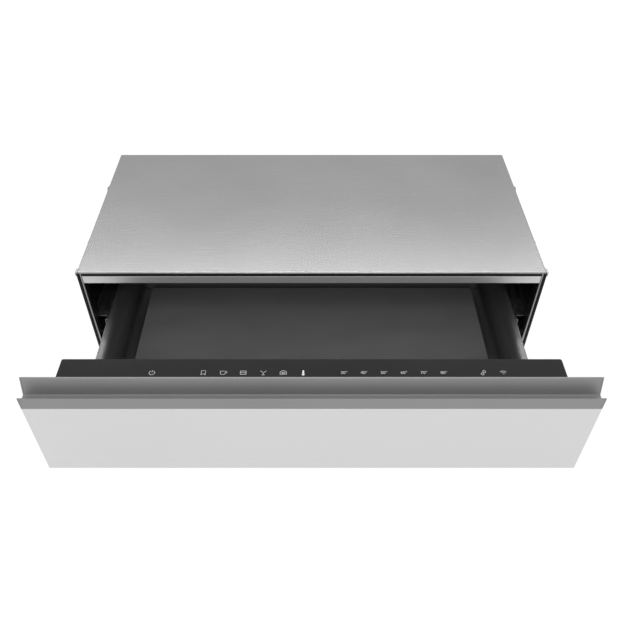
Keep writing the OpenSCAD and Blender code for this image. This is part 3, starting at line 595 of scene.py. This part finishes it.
# %% Fold the lid
low, high = corners("lid")
lid_x = corners("mouth_seal")[1].x
SHEET, FOLD, ROLL, HEM = 0.9, 1.4, 1.2, 9.0
DIP_LONG, DIP = 1.6, 0.07
LUG_LONG, LUG_HIGH, LUG_BELOW, LUG_IN = 8, 5.5, 0.2, 0.5
lid = block("lid_sheet", (-lid_x, ROLL, low.z), (lid_x, high.y, high.z))
open_up(lid, lambda at, way: abs(way.x) < 0.5 and way.z < 0.5)
round_edges(lid, FOLD, 4, lambda at, way: along(way, Y) and at.z > high.z - NEAR)
slice_at(lid, (0, ROLL + DIP_LONG, 0), (0, 1, 0))
pick(lid, "EDGE", lambda at, way: at.y < ROLL + NEAR)
bpy.ops.transform.translate(value=(0, 0, -DIP * MM))
pick(lid, "EDGE", lambda at, way: along(way, X) and at.y < ROLL + NEAR and at.z > high.z - NEAR)
roll_z = high.z - DIP - ROLL
bpy.ops.mesh.spin(steps=8, angle=-pi, center=(0, ROLL * MM, roll_z * MM), axis=(1, 0, 0))
pull("EDGE", y=HEM - ROLL)
face_outwards(lid)
thicken(lid, SHEET)
soften(lid, 0.15)
lug_low = (lid_x - LUG_IN, low.y, high.z - LUG_HIGH)
lug = block("lug_right", lug_low, (high.x, low.y + LUG_LONG, high.z - LUG_BELOW))
soften(lug, 0.5, 3)
lug_left = copy_of(lug, "lug_left", MIRRORED)
dress(join([lid, lug, lug_left]), "lid")

# %% [markdown]
# Screws hold most of the drawer. All have a pan head with a cross, in two sizes.
# A disc with a painted cross would do from afar. Here a round bar gets a rounded
# top, and two crossed bars are cut out of it, so that the cross catches the light.

# %% Make a screw head
HEAD_H = 2
DOME, CROSS_FOOT, CROSS_LONG, CROSS_WIDE = 0.55, 0.4, 0.3, 0.06


def rod(name, at, axis, length, diameter, sides=32):
    """A round bar from one end, along X, Y or Z."""
    turn = {"X": (0, pi / 2, 0), "Y": (-pi / 2, 0, 0), "Z": (0, 0, 0)}[axis]
    way = Euler(turn).to_matrix() @ Vector((0, 0, length / 2))
    select_none()
    bpy.ops.mesh.primitive_cylinder_add(
        vertices=sides, radius=diameter / 2 * MM, depth=length * MM,
        location=(Vector(at) + way) * MM, rotation=turn)
    return named(name)


def cut(piece, cutters):
    """Takes the cutters away from the piece."""
    tool = join(cutters)
    modify(piece, "BOOLEAN", operation="DIFFERENCE", solver="EXACT", use_self=True, object=tool)
    bpy.data.objects.remove(tool)


def screw_head(name, diameter):
    """A pan head that stands on the origin and looks up Z, with a cross in it."""
    head = rod(name, (0, 0, 0), "Z", HEAD_H, diameter, 36)
    round_edges(head, HEAD_H * DOME, 4, lambda at, way: at.z > HEAD_H - NEAR)
    long, wide, foot = diameter * CROSS_LONG, diameter * CROSS_WIDE, HEAD_H * CROSS_FOOT
    bars = [block("bar", (-a, -b, foot), (a, b, HEAD_H * 2)) for a, b in ((long, wide), (wide, long))]
    cut(head, bars)
    return head


def turned_to(way):
    """Turns a piece that looks up Z so that it looks along way."""
    return Vector(way).to_track_quat("Z", "Y").to_matrix().to_4x4()


def screws_at(name, head, places, way):
    """Copies of one head, joined into one piece."""
    copies = [copy_of(head, f"{name}_{i}", moved(*at) @ turned_to(way)) for i, at in enumerate(places)]
    return join(copies)


small_head = screw_head("small_head", 6)
big_head = screw_head("big_head", 8)
print("screw heads:", len(small_head.data.polygons), "faces each")

# %% [markdown]
# Four small fixings hold the lid: a screw and a spring clip on each side. A clip
# is a flat spring with a raised nose at its rear end. The nose is a face that is
# set in by a millimetre and pulled out.

# %% Fix the lid
SUNK = 0.05
CLIP_IN, CLIP_SHEET, CLIP_NOSE, CLIP_STEP = 0.3, 1.2, 8, 1
low, high = corners("lid_screws")
middle = (low + high) / 2
right = screws_at("lid_screw_heads", small_head, [(lid_x - SUNK, middle.y, middle.z)], (1, 0, 0))
left = copy_of(right, "left_head", MIRRORED)
dress(join([right, left]), "lid_screws")
low, high = corners("lid_clips")
clip = block("lid_spring_clips", (lid_x - CLIP_IN, low.y, low.z), (lid_x + CLIP_SHEET, high.y, high.z))
slice_at(clip, (0, high.y - CLIP_NOSE, 0), (0, 1, 0))
pick(clip, "FACE", lambda at, way: way.x > 0.9 and at.y > high.y - CLIP_NOSE)
bpy.ops.mesh.inset(thickness=CLIP_STEP * MM)
pull("FACE", x=high.x - lid_x - CLIP_SHEET)
soften(clip, 0.4)
dress(join([clip, copy_of(clip, "left_clip", MIRRORED)]), "lid_clips")

# %% [markdown]
# ## Casing
# Each side wall is a flat sheet with a narrow flange along its top, which the
# lid rests on, and two holes for the screws into the cabinet. Spot welds join it
# to the base, and leave a row of small round dents. The dents could be painted
# as a bump, but a shallow cut looks right from every side.

# %% Press the side walls
WALL, FLANGE_START, FLANGE_GAP, OVER = 1, 20, 7.2, 1
HOLE_Y, HOLE_Z, HOLE_WIDE = 24, (105, 123), 4.5
WELDS, WELD_Y, WELD_PITCH, WELD_Z, WELD_WIDE, WELD_DEEP = 6, 30, 40, 6, 4.5, 0.15
low, high = corners("side_wall_right")
wall_in, flange_end = high.x - WALL, high.y - FLANGE_GAP
side = block("side_sheet_right", (wall_in, low.y, low.z), (high.x, high.y, high.z))
for edge in (FLANGE_START, flange_end):
    slice_at(side, (0, edge, 0), (0, 1, 0))
slice_at(side, (0, 0, high.z - WALL), (0, 0, 1))
pick(side, "FACE", lambda at, way: way.x < -0.9 and at.z > high.z - WALL and FLANGE_START < at.y < flange_end)
pull("FACE", x=low.x - wall_in)
holes = [rod("hole", (wall_in - OVER, HOLE_Y, z), "X", WALL + 2 * OVER, HOLE_WIDE) for z in HOLE_Z]
for i in range(WELDS):
    place = (high.x - WELD_DEEP, WELD_Y + WELD_PITCH * i, WELD_Z)
    holes.append(rod("weld", place, "X", 2 * OVER, WELD_WIDE))
cut(side, holes)
soften(side, 0.2)
other = copy_of(side, "side_sheet_left", MIRRORED)
dress(side, "side_wall_right", finish=casing_y)
dress(other, "side_wall_left", finish=casing_y)

# %% [markdown]
# The rear panel, the base and the rest of the hardware have the right shape in
# CAD already. A CAD mesh has knife-sharp edges, though, and real sheet and cast
# parts don't. So each gets a merged copy with a fine bevel on its edges, which
# stands for the CAD node. The CAD mesh itself stays as it is.

# %% Soften the edges of the CAD hardware
FLAT_ANGLE, SHARP_ANGLE = 0.5, 50


def from_cad(node, width, steps=2):
    """A copy of a CAD part with its edges softened."""
    piece = copy_of(frame["nodes"][node], node + "_piece")
    select_only(piece)
    bpy.ops.object.mode_set(mode="EDIT")
    bpy.ops.mesh.select_all(action="SELECT")
    bpy.ops.mesh.remove_doubles(threshold=SAME_CORNER * MM)
    bpy.ops.mesh.dissolve_limited(angle_limit=radians(FLAT_ANGLE))
    bpy.ops.object.mode_set(mode="OBJECT")
    soften(piece, width, steps, SHARP_ANGLE)
    dress(piece, node)


for node in ("base_plate", "rear_panel", "fan_grille"):
    from_cad(node, 0.2)
for side in ("left", "right"):
    from_cad("runner_carrier_" + side, 0.3)
    from_cad("drawer_bracket_" + side, 0.3)
    from_cad("cheek_bracket_" + side, 0.3)
    from_cad("outer_cage_" + side, 0.08, 1)
    from_cad("inner_cage_" + side, 0.08, 1)
for node, width in (("fan_duct", 0.3), ("fan_motor", 0.8), ("fan_wheel", 0.15), ("ring_heater", 0.1),
                    ("terminal_block", 0.4), ("power_board", 0.2), ("cable_gland", 0.5),
                    ("stop_buffers", 0.6), ("floor_heater", 0.1), ("floor_insulation", 0.8),
                    ("front_insulation", 0.8), ("temperature_sensor", 0.4), ("control_board", 0.15),
                    ("touch_springs", 0.2), ("bottom_pan", 0.4)):
    from_cad(node, width)

# %% [markdown]
# ## Service box
# The cover behind the casing hides the fan, its heater and the mains connection.
# It is a bent frame with two flanges at its open edge, which take the screws. A
# solid box would look the same when it is closed, but the vents show its inside.

# %% Bend the service cover
COVER_SHEET, COVER_BEND, COVER_FLANGE = 1.2, 3, 12
low, high = corners("service_cover")
box_x = high.x - COVER_FLANGE
cover = block("service_box", (-box_x, low.y + COVER_SHEET, low.z), (box_x, high.y, high.z))
open_up(cover, lambda at, way: along(way, Y))
round_edges(cover, COVER_BEND, 4, lambda at, way: along(way, Y))
for sign in (-1, 1):
    pick(cover, "EDGE", lambda at, way: at.y < low.y + COVER_SHEET + NEAR and at.x * sign > box_x - NEAR)
    pull("EDGE", x=sign * COVER_FLANGE)
thicken(cover, COVER_SHEET)
soften(cover, 0.2)
dress(cover, "service_cover")

# %% [markdown]
# A plate closes the box behind. It has upright vents, and a round hole for the
# cable gland. All are cut with one Boolean, by bars that go right through.

# %% Cut the vent plate and drive the screws
VENTS, VENT_PITCH, VENT_WIDE, VENT_FOOT, VENT_TOP, VENT_ROUND = 9, 9, 4, 29, 73, 1.9
GLAND_HOLE, PLATE_BACK, PLATE_OVER = 16.4, 4, 2
SERVICE_X, SERVICE_Z = 166, (22.8, 79.2)


def long_hole(low, high):
    """A bar with rounded edges, which cuts a long hole through a rear wall."""
    bar = block("long_hole", low, high)
    round_edges(bar, VENT_ROUND, 4, lambda at, way: along(way, Y))
    return bar


low, high = corners("vent_plate")
plate = block("service_vent_plate", low, high)
round_edges(plate, COVER_BEND, 4, lambda at, way: along(way, Y))
vents = []
for i in range(VENTS):
    x0 = VENT_PITCH * (i - (VENTS - 1) / 2) - VENT_WIDE / 2
    start = (x0, high.y - PLATE_BACK, VENT_FOOT)
    vents.append(long_hole(start, (x0 + VENT_WIDE, high.y + PLATE_OVER, VENT_TOP)))
gland = sum(corners("cable_gland"), Vector()) / 2
vents.append(rod("gland_hole", (gland.x, high.y - PLATE_BACK, gland.z), "Y", 2 * PLATE_BACK, GLAND_HOLE))
cut(plate, vents)
soften(plate, 0.3)
dress(plate, "vent_plate")
high = corners("service_screws")[1]
places = [(x, high.y - HEAD_H - SUNK, z) for x in (-SERVICE_X, SERVICE_X) for z in SERVICE_Z]
dress(screws_at("service_screw_heads", small_head, places, (0, 1, 0)), "service_screws")

# %% [markdown]
# ## Mouth
# Round the opening runs a rubber seal, and inside it a bright metal frame: a bar
# under the lid, a narrow flange at each side and a low sill. The bar and the
# runners are channels, so one function bends a channel: a block without the face
# that it opens to, with rounded bends, thickened into sheet.

# %% Bend the mouth frame


def sheet_angle(name, node, bend, sheet, opened, bent):
    """Bends a block round a node: opened says which faces go, bent which edges are bends."""
    piece = block(name, *corners(node))
    open_up(piece, opened)
    round_edges(piece, bend, 3, bent)
    thicken(piece, sheet)
    soften(piece, 0.15)
    return piece


def channel(name, low, high, open_way, bend, sheet):
    """A channel between two corners, open along open_way, a unit vector."""
    open_way = Vector(open_way)
    piece = block(name, low, high)
    longest = max((X, Y, Z), key=lambda axis: high[axis] - low[axis])
    open_up(piece, lambda at, way: way.dot(open_way) > 0.9 or along(way, longest))
    middle = (low + high) / 2
    round_edges(piece, bend, 3, lambda at, way: along(way, longest) and (at - middle).dot(open_way) < -NEAR)
    thicken(piece, sheet)
    soften(piece, 0.15)
    return piece


bar_low, bar_high = corners("mouth_bar")
bar = channel("mouth_bar_channel", bar_low, bar_high, (0, 1, 0), bend=1.0, sheet=1.2)
dress(bar, "mouth_bar")
for side, sign in (("left", -1), ("right", 1)):
    flange = sheet_angle(
        "mouth_angle_" + side, "mouth_flange_" + side, bend=0.8, sheet=1.0,
        opened=lambda at, way: way.x * sign > 0.9 or way.y > 0.9 or along(way, Z),
        bent=lambda at, way: along(way, Z) and at.y < NEAR)
    dress(flange, "mouth_flange_" + side, finish=flange_metal)
sill_z = corners("mouth_sill")[1].z
sill = sheet_angle(
    "mouth_sill_angle", "mouth_sill", bend=1.0, sheet=1.2,
    opened=lambda at, way: way.z < -0.9 or way.y > 0.9 or along(way, X),
    bent=lambda at, way: along(way, X) and at.y < NEAR and at.z > sill_z - NEAR)
dress(sill, "mouth_sill")

# %% [markdown]
# The seal is black rubber: one strip under the lid, and one down each side with a
# stem that is held behind the metal flange. Its edges are rounder than those of
# metal. Its near-black, almost glossless rubber is also painted shade for the
# narrow gap between the lid and the frame.

# %% Fit the mouth seal
BEAD, TOP_BEAD, TOP_BACK, STEM_IN, STEM_START = 3, 3.2, 1, 1, 0.5
low, high = corners("mouth_seal")
seal_low = (-bar_high.x, low.y + TOP_BACK, high.z - TOP_BEAD)
seal = block("mouth_seal_strips", seal_low, (bar_high.x, high.y, high.z))
lip = block("side_lip", (high.x - BEAD, low.y, low.z), (high.x, 0, high.z))
stem = block("side_stem", (high.x - BEAD, -STEM_START, low.z), (high.x - STEM_IN, high.y, high.z))
side = join([lip, stem])
seal = join([seal, side, copy_of(side, "left_seal", MIRRORED)])
soften(seal, 0.5, 3)
dress(seal, "mouth_seal")

# %% [markdown]
# ## Runners
# A drawer of this weight hangs on full-extension ball runners: an outer member
# on the casing, a middle one that moves half as far, and an inner one on the
# drawer. Each is a rolled channel, so the function for channels makes them too,
# and holes are cut where the real ones are screwed on. The left ones are mirrored.

# %% Roll the runner members
HOLES, SMALL_HOLE, LARGE_HOLE, DRILL_BACK, DRILL_LONG = 5, 4.2, 5.2, 5, 25
ROLL_BEND, RUNNER_SHEET = 1.6, 1.15
for member, opens in (("outer", -1), ("mid", -1), ("inner", 1)):
    low, high = corners(f"runner_{member}_right")
    bar = channel(f"runner_{member}_channel_right", low, high, (opens, 0, 0), ROLL_BEND, RUNNER_SHEET)
    middle = (low + high) / 2
    holes = []
    for i in range(HOLES):
        y = low.y + (high.y - low.y) * (i + 0.5) / HOLES
        wide = SMALL_HOLE if i % 2 else LARGE_HOLE
        holes.append(rod("hole", (low.x - DRILL_BACK, y, middle.z), "X", DRILL_LONG, wide, 24))
    cut(bar, holes)
    twin = copy_of(bar, f"runner_{member}_channel_left", MIRRORED)
    dress(bar, f"runner_{member}_right")
    dress(twin, f"runner_{member}_left")

# %% [markdown]
# ## Tray and glass floor
# The tray is drawn from one sheet of steel, with round lower corners and a wide
# rim that turns out over the runners. Hot air comes in through two rows of holes
# in its rear wall. A bevel would give the rim a quarter circle. It is spun and
# then stretched instead, because the shading of the real one tells of a curve
# that is higher than it is wide.

# %% Draw the tray
TRAY_SHEET, CORNER, FLOOR_ROUND, FOLD_BEND = 1, 2.5, 13, 0.6
RIM_W, RIM_H, FOLD_H, RIM_DOWN = 12.0, 18.0, 6.0, 17.0
AIR_HOLES, AIR_PITCH, AIR_LONG, AIR_HIGH, AIR_DOWN, ROW_DOWN = 12, 32, 20, 4, 25, 12
AIR_FRONT, AIR_BACK = 3, 2
low, high = corners("tray")
rim_z = high.z - RIM_DOWN
wall_x, bend_z, fold_x = high.x - RIM_W, rim_z - RIM_H, high.x - TRAY_SHEET
tray = block("drawn_tray", (-wall_x, low.y, low.z), (wall_x, high.y, bend_z))
open_up(tray, lambda at, way: way.z > 0.9)
round_edges(tray, CORNER, 4, lambda at, way: along(way, Z))
round_edges(tray, FLOOR_ROUND, 12, lambda at, way: along(way, Y, 0.9) and at.z < low.z + NEAR)
for sign in (-1, 1):
    pick(tray, "EDGE", lambda at, way: along(way, Y) and at.z > bend_z - NEAR and at.x * sign > wall_x - NEAR)
    bpy.ops.mesh.spin(steps=16, angle=-sign * pi / 2, axis=(0, 1, 0),
                      center=(sign * fold_x * MM, 0, bend_z * MM))
pick(tray, "EDGE", lambda at, way: at.z > bend_z + NEAR)
bpy.ops.transform.resize(value=(1, 1, (RIM_H - TRAY_SHEET) / (RIM_W - TRAY_SHEET)),
                         center_override=(0, 0, bend_z * MM))
pick(tray, "EDGE", lambda at, way: along(way, Y) and abs(at.x) > fold_x - NEAR)
pull("EDGE", z=TRAY_SHEET - FOLD_H)
fold_z = rim_z - TRAY_SHEET
round_edges(tray, FOLD_BEND, 3,
            lambda at, way: along(way, Y) and at.z > fold_z - NEAR and abs(at.x) > fold_x - NEAR)
for edge, top in ((low.y, high.z), (high.y, rim_z)):
    pick(tray, "EDGE",
         lambda at, way: along(way, X) and abs(at.y - edge) < NEAR and abs(at.z - bend_z) < NEAR)
    pull("EDGE", z=top - bend_z)
face_outwards(tray, up=-1)
thicken(tray, TRAY_SHEET)
air_holes = []
for row in (0, 1):
    for i in range(AIR_HOLES):
        x0 = (i - (AIR_HOLES - 1) / 2) * AIR_PITCH - AIR_LONG / 2
        z0 = rim_z - AIR_DOWN - ROW_DOWN * row
        end = (x0 + AIR_LONG, high.y + AIR_BACK, z0 + AIR_HIGH)
        air_holes.append(long_hole((x0, high.y - AIR_FRONT, z0), end))
cut(tray, air_holes)
soften(tray, 0.15)
dress(tray, "tray")

# %% [markdown]
# The crockery stands on a plate of dark glass, with the heater under it. A plain
# slab would look like painted sheet. Round corners and a narrow ground edge round
# the top make it glass.

# %% Lay the glass floor
PLATE_CORNER, GROUND_EDGE = 4, 0.6
low, high = corners("glass_floor")
plate = block("glass_floor_plate", low, high)
round_edges(plate, PLATE_CORNER, 5, lambda at, way: along(way, Z))
round_edges(plate, GROUND_EDGE, 3, lambda at, way: at.z > high.z - NEAR)
dress(plate, "glass_floor")

# %% [markdown]
# ## Front
# The front is a silver-backed glass panel under an anodised grip profile. Fingers
# reach over the profile's lip into a groove, in front of a fin that leans back.
# The profile is extruded on the real drawer. Here its block is sliced into three
# strips, the lip and the fin are pulled up, and the foot of each is rounded.

# %% Shape the grip profile
low, high = corners("grip_profile")
front, back = low.y, high.y
GROOVE_DOWN, LIP_DOWN, LIP_SLOPE, FIN_SLOPE = 19.8, 10.1, 1.4, 0.5
LIP, GROOVE, FIN_TOP = 2.0, 10.7, 1.3
FIN_FOOT, LIP_FOOT, FIN_ROUND, EXTRUDED_EDGE = 0.6, 1, 0.5, 0.3
groove_z, lip_z, fin_z = high.z - GROOVE_DOWN, high.z - LIP_DOWN, high.z - FIN_SLOPE
lip_end, fin_start, fin_middle = front + LIP, front + LIP + GROOVE, back - FIN_TOP / 2


def grip_bar(name, x0, x1):
    """One length of the profile: a foot with a lip in front and a leaning fin behind."""
    bar = block(name, (x0, front, low.z), (x1, back, groove_z))
    slice_at(bar, (0, lip_end, 0), (0, 1, 0))
    slice_at(bar, (0, fin_start, 0), (0, 1, 0))
    pick(bar, "FACE", lambda at, way: way.z > 0.9 and at.y < lip_end)
    pull("FACE", z=lip_z - groove_z)
    pick(bar, "FACE", lambda at, way: way.z > 0.9 and at.y > fin_start)
    pull("FACE", z=high.z - groove_z)
    pick(bar, "EDGE", lambda at, way: along(way, X) and at.z > high.z - NEAR and at.y < fin_middle)
    bpy.ops.transform.translate(value=(0, (back - FIN_TOP - fin_start) * MM, -FIN_SLOPE * MM))
    pick(bar, "EDGE", lambda at, way: along(way, X) and abs(at.z - lip_z) < NEAR and at.y > lip_end - NEAR)
    bpy.ops.transform.translate(value=(0, 0, -LIP_SLOPE * MM))
    for foot, radius, steps in ((fin_start, FIN_FOOT, 3), (lip_end, LIP_FOOT, 4)):
        round_edges(bar, radius, steps,
                    lambda at, way: along(way, X) and abs(at.y - foot) < NEAR and abs(at.z - groove_z) < NEAR)
    round_edges(bar, FIN_ROUND, 3,
                lambda at, way: along(way, X) and at.z > fin_z - NEAR and at.y < fin_middle)
    soften(bar, EXTRUDED_EDGE, angle=SHARP_ANGLE)
    return bar


dress(grip_bar("grip_bar", low.x, high.x), "grip_profile")
CAP_GAP = 0.05
cap = grip_bar("grip_end_caps", high.x + CAP_GAP, corners("end_caps")[1].x)
dress(join([cap, copy_of(cap, "left_cap", MIRRORED)]), "end_caps")

# %% [markdown]
# The face is a pane of glass, silvered behind, with ground edges. Behind it lies
# a pressed steel pan. A sunk field makes such thin sheet stiff: the rear face is
# set in twice, and the second time it is also pushed in.

# %% Cut the face panel and press the back pan
FACE_GAP, PAN_EDGE, PAN_RIM, STEP_WIDE, STEP_DEEP, BIG_R = 0.15, 2, 9, 1.2, 0.9, 4
low, high = corners("face_panel")
face = block("face_glass_panel", low, high - Vector((0, 0, FACE_GAP)))
soften(face, GROUND_EDGE, 3)
dress(face, "face_panel")
low, high = corners("back_pan")
pan = block("back_pan_pressing", low, high)
round_edges(pan, PAN_EDGE, 4, lambda at, way: at.y > high.y - NEAR)
pick(pan, "FACE", lambda at, way: way.y > 0.99)
bpy.ops.mesh.inset(thickness=PAN_RIM * MM)
bpy.ops.mesh.inset(thickness=STEP_WIDE * MM, depth=-STEP_DEEP * MM)
soften(pan, 0.3, angle=25)
dress(pan, "back_pan")
low, high = corners("front_screws")
screw_x, screw_z = high.x - BIG_R, (low.z + BIG_R, high.z - BIG_R)
places = [(x, high.y - HEAD_H, z) for x in (-screw_x, screw_x) for z in screw_z]
dress(screws_at("front_screw_heads", big_head, places, (0, 1, 0)), "front_screws")

# %% [markdown]
# ## Controls
# The touch keys lie behind one strip of dark glass on top of a black steel box.
# One block in two colours would have the same outline. The glass is a plate of
# its own, because its ground edges catch a line of light that steel doesn't.

# %% Make the control strip
STRIP_ROUND, BOX_EDGE, KEY_IN = 2, 1.2, 17
low, high = corners("control_housing")
box = block("control_box", low, high)
round_edges(box, STRIP_ROUND, 5, lambda at, way: along(way, Z) and at.y > high.y - NEAR)
round_edges(box, BOX_EDGE, 3, lambda at, way: at.z < low.z + NEAR)
dress(box, "control_housing")
low, high = corners("control_glass")
strip = block("control_glass_strip", low, high)
round_edges(strip, STRIP_ROUND, 5, lambda at, way: along(way, Z) and at.y > high.y - NEAR)
soften(strip, GROUND_EDGE, 3)
dress(strip, "control_glass")
glass_top, key_y = high.z, low.y + KEY_IN

# %% [markdown]
# The marks are printed on the glass: a power sign, programme signs, a
# thermometer, six temperatures and two function signs. Each could be a picture
# on a plane. Thin raised strokes stay sharp at any distance, so each sign is a
# flat curve drawn round its key's middle, and the numbers are text turned into
# a mesh.

# %% Draw a sign and write a number
PRINT_H, SIGN_SIZE, FIGURE_H, FIGURE_BOLD = 0.06, 0.73, 0.1, 0.04


def arc(x, y, radius, start, end, steps=14):
    """Points on part of a circle, from one angle in degrees to another."""
    angles = [radians(start + (end - start) * i / steps) for i in range(steps + 1)]
    return [(x + radius * cos(a), y + radius * sin(a)) for a in angles]


def flatten(piece, name, x, y):
    """Makes a curve or text a mesh, lays it on the glass and gives it the print's height."""
    select_only(piece)
    bpy.ops.object.convert(target="MESH")
    piece = bpy.context.active_object
    depth = max(v.co.z for v in piece.data.vertices) - min(v.co.z for v in piece.data.vertices)
    flat = Matrix.Scale(PRINT_H * MM / depth, 4, (0, 0, 1))
    piece.data.transform(moved(x, y, glass_top + PRINT_H / 2) @ flat)
    piece.name = piece.data.name = name
    return piece


def draw_sign(name, x, strokes, width=0.7):
    """A sign in lines of a width, drawn round the middle of the key at x."""
    curve = bpy.data.curves.new(name, "CURVE")
    curve.dimensions = "3D"
    curve.bevel_depth = width / 2 * MM
    curve.bevel_resolution = 1
    curve.use_fill_caps = True
    for stroke in strokes:
        line = curve.splines.new("POLY")
        line.points.add(len(stroke) - 1)
        for point, (px, py) in zip(line.points, stroke):
            point.co = (px * SIGN_SIZE * MM, py * SIGN_SIZE * MM, 0, 1)
    piece = bpy.data.objects.new(name, curve)
    bpy.context.collection.objects.link(piece)
    return flatten(piece, name, x, key_y)


def write_number(name, x, words, size):
    """A number in raised figures, on the key at x."""
    select_none()
    bpy.ops.object.text_add()
    text = bpy.context.active_object
    text.data.body = words
    text.data.size = size * MM
    text.data.align_x = "CENTER"
    text.data.align_y = "CENTER"
    text.data.extrude = FIGURE_H * MM
    text.data.offset = FIGURE_BOLD * MM
    return flatten(text, name, x, key_y)


print("signs are drawn at", SIGN_SIZE, "of their outlines")

# %% [markdown]
# The outlines are lists of strokes, in millimetres from the middle of a key. Round
# strokes are arcs, so only the corners are written down. The keys stand in three
# groups with one pitch. The thermometer is the one sign that is lit.

# %% Print the marks
KEY_PITCH, POWER_X, PROGRAMME_X, HEAT_X, FUNCTION_X = 20.8, -166.2, -112.7, 33.7, 178.7
HEATS, FIGURE_SIZE, LIT_WIDTH = range(30, 90, 10), 5.2, 1.7
POWER = [arc(0, 0, 3.9, 120, 420), [(0, 0.6), (0, 4.6)]]
PLATE = [[(-3, -4), (-3, 4), (3, 4), (3, -4)], [(-3, -4), (0, -1.6), (3, -4)]]
CUP = [[(-4.4, 3), (3, 3), (2.6, -2), (1.4, -3.2), (-2.8, -3.2), (-4, -2), (-4.4, 3)],
       [(3, 2.2), (5, 2.2), (5, -0.2), (2.8, -0.6)]]
STACK = [[(-4, y), (4, y)] for y in (-3.2, 0, 3.2)] + [[(x, -3.2), (x, 3.2)] for x in (-4, 4)]
THAW = [[(-4.4, 3.8), (0, -0.2), (4.4, 3.8)], [(0, -0.2), (0, -4)], [(-2.2, -4), (2.2, -4)]]
ROAST = [arc(0, -0.6, 4.6, 0, 180), [(-4.6, -0.6), (-4.6, -3.4), (4.6, -3.4), (4.6, -0.6), (-4.6, -0.6)],
         arc(0, -0.4, 1.7, 0, 360)]
LINK = [arc(1.5, 2.2, 2, 0, 360), arc(-1.5, -2.2, 2, 0, 360), [(0.8, 1.2), (-0.8, -1.2)]]
SIGNAL = [arc(0, -3.4, 6.6, 48, 132), arc(0, -3.4, 3.6, 48, 132), [(0, -3.2), (0, -2.2)]]
THERMOMETER = [[(0, 4.4), (0, -2.4)], arc(0, -3, 0.9, 0, 360)]
PROGRAMMES = (PLATE, CUP, STACK, THAW, ROAST)
prints = [draw_sign("print_power", POWER_X, POWER)]
for i, strokes in enumerate(PROGRAMMES):
    prints.append(draw_sign(f"print_programme_{i}", PROGRAMME_X + KEY_PITCH * i, strokes))
for i, heat in enumerate(HEATS):
    prints.append(write_number(f"print_heat_{i}", HEAT_X + KEY_PITCH * i, f"{heat}°", FIGURE_SIZE))
for i, strokes in enumerate((LINK, SIGNAL)):
    prints.append(draw_sign(f"print_function_{i}", FUNCTION_X + KEY_PITCH * i, strokes))
dress(join(prints), body="drawer", slot="control_glass", finish=key_print)
lit_x = PROGRAMME_X + KEY_PITCH * len(PROGRAMMES)
lit = draw_sign("print_thermometer", lit_x, THERMOMETER, LIT_WIDTH)
dress(lit, body="drawer", slot="control_glass", finish=lit_print)

# %% [markdown]
# ## Tidy up
# The two screw heads that the copies were made from are removed, so that only
# finished pieces stay.

# %% Remove the pattern screw heads
for helper in (small_head, big_head):
    bpy.data.objects.remove(helper)
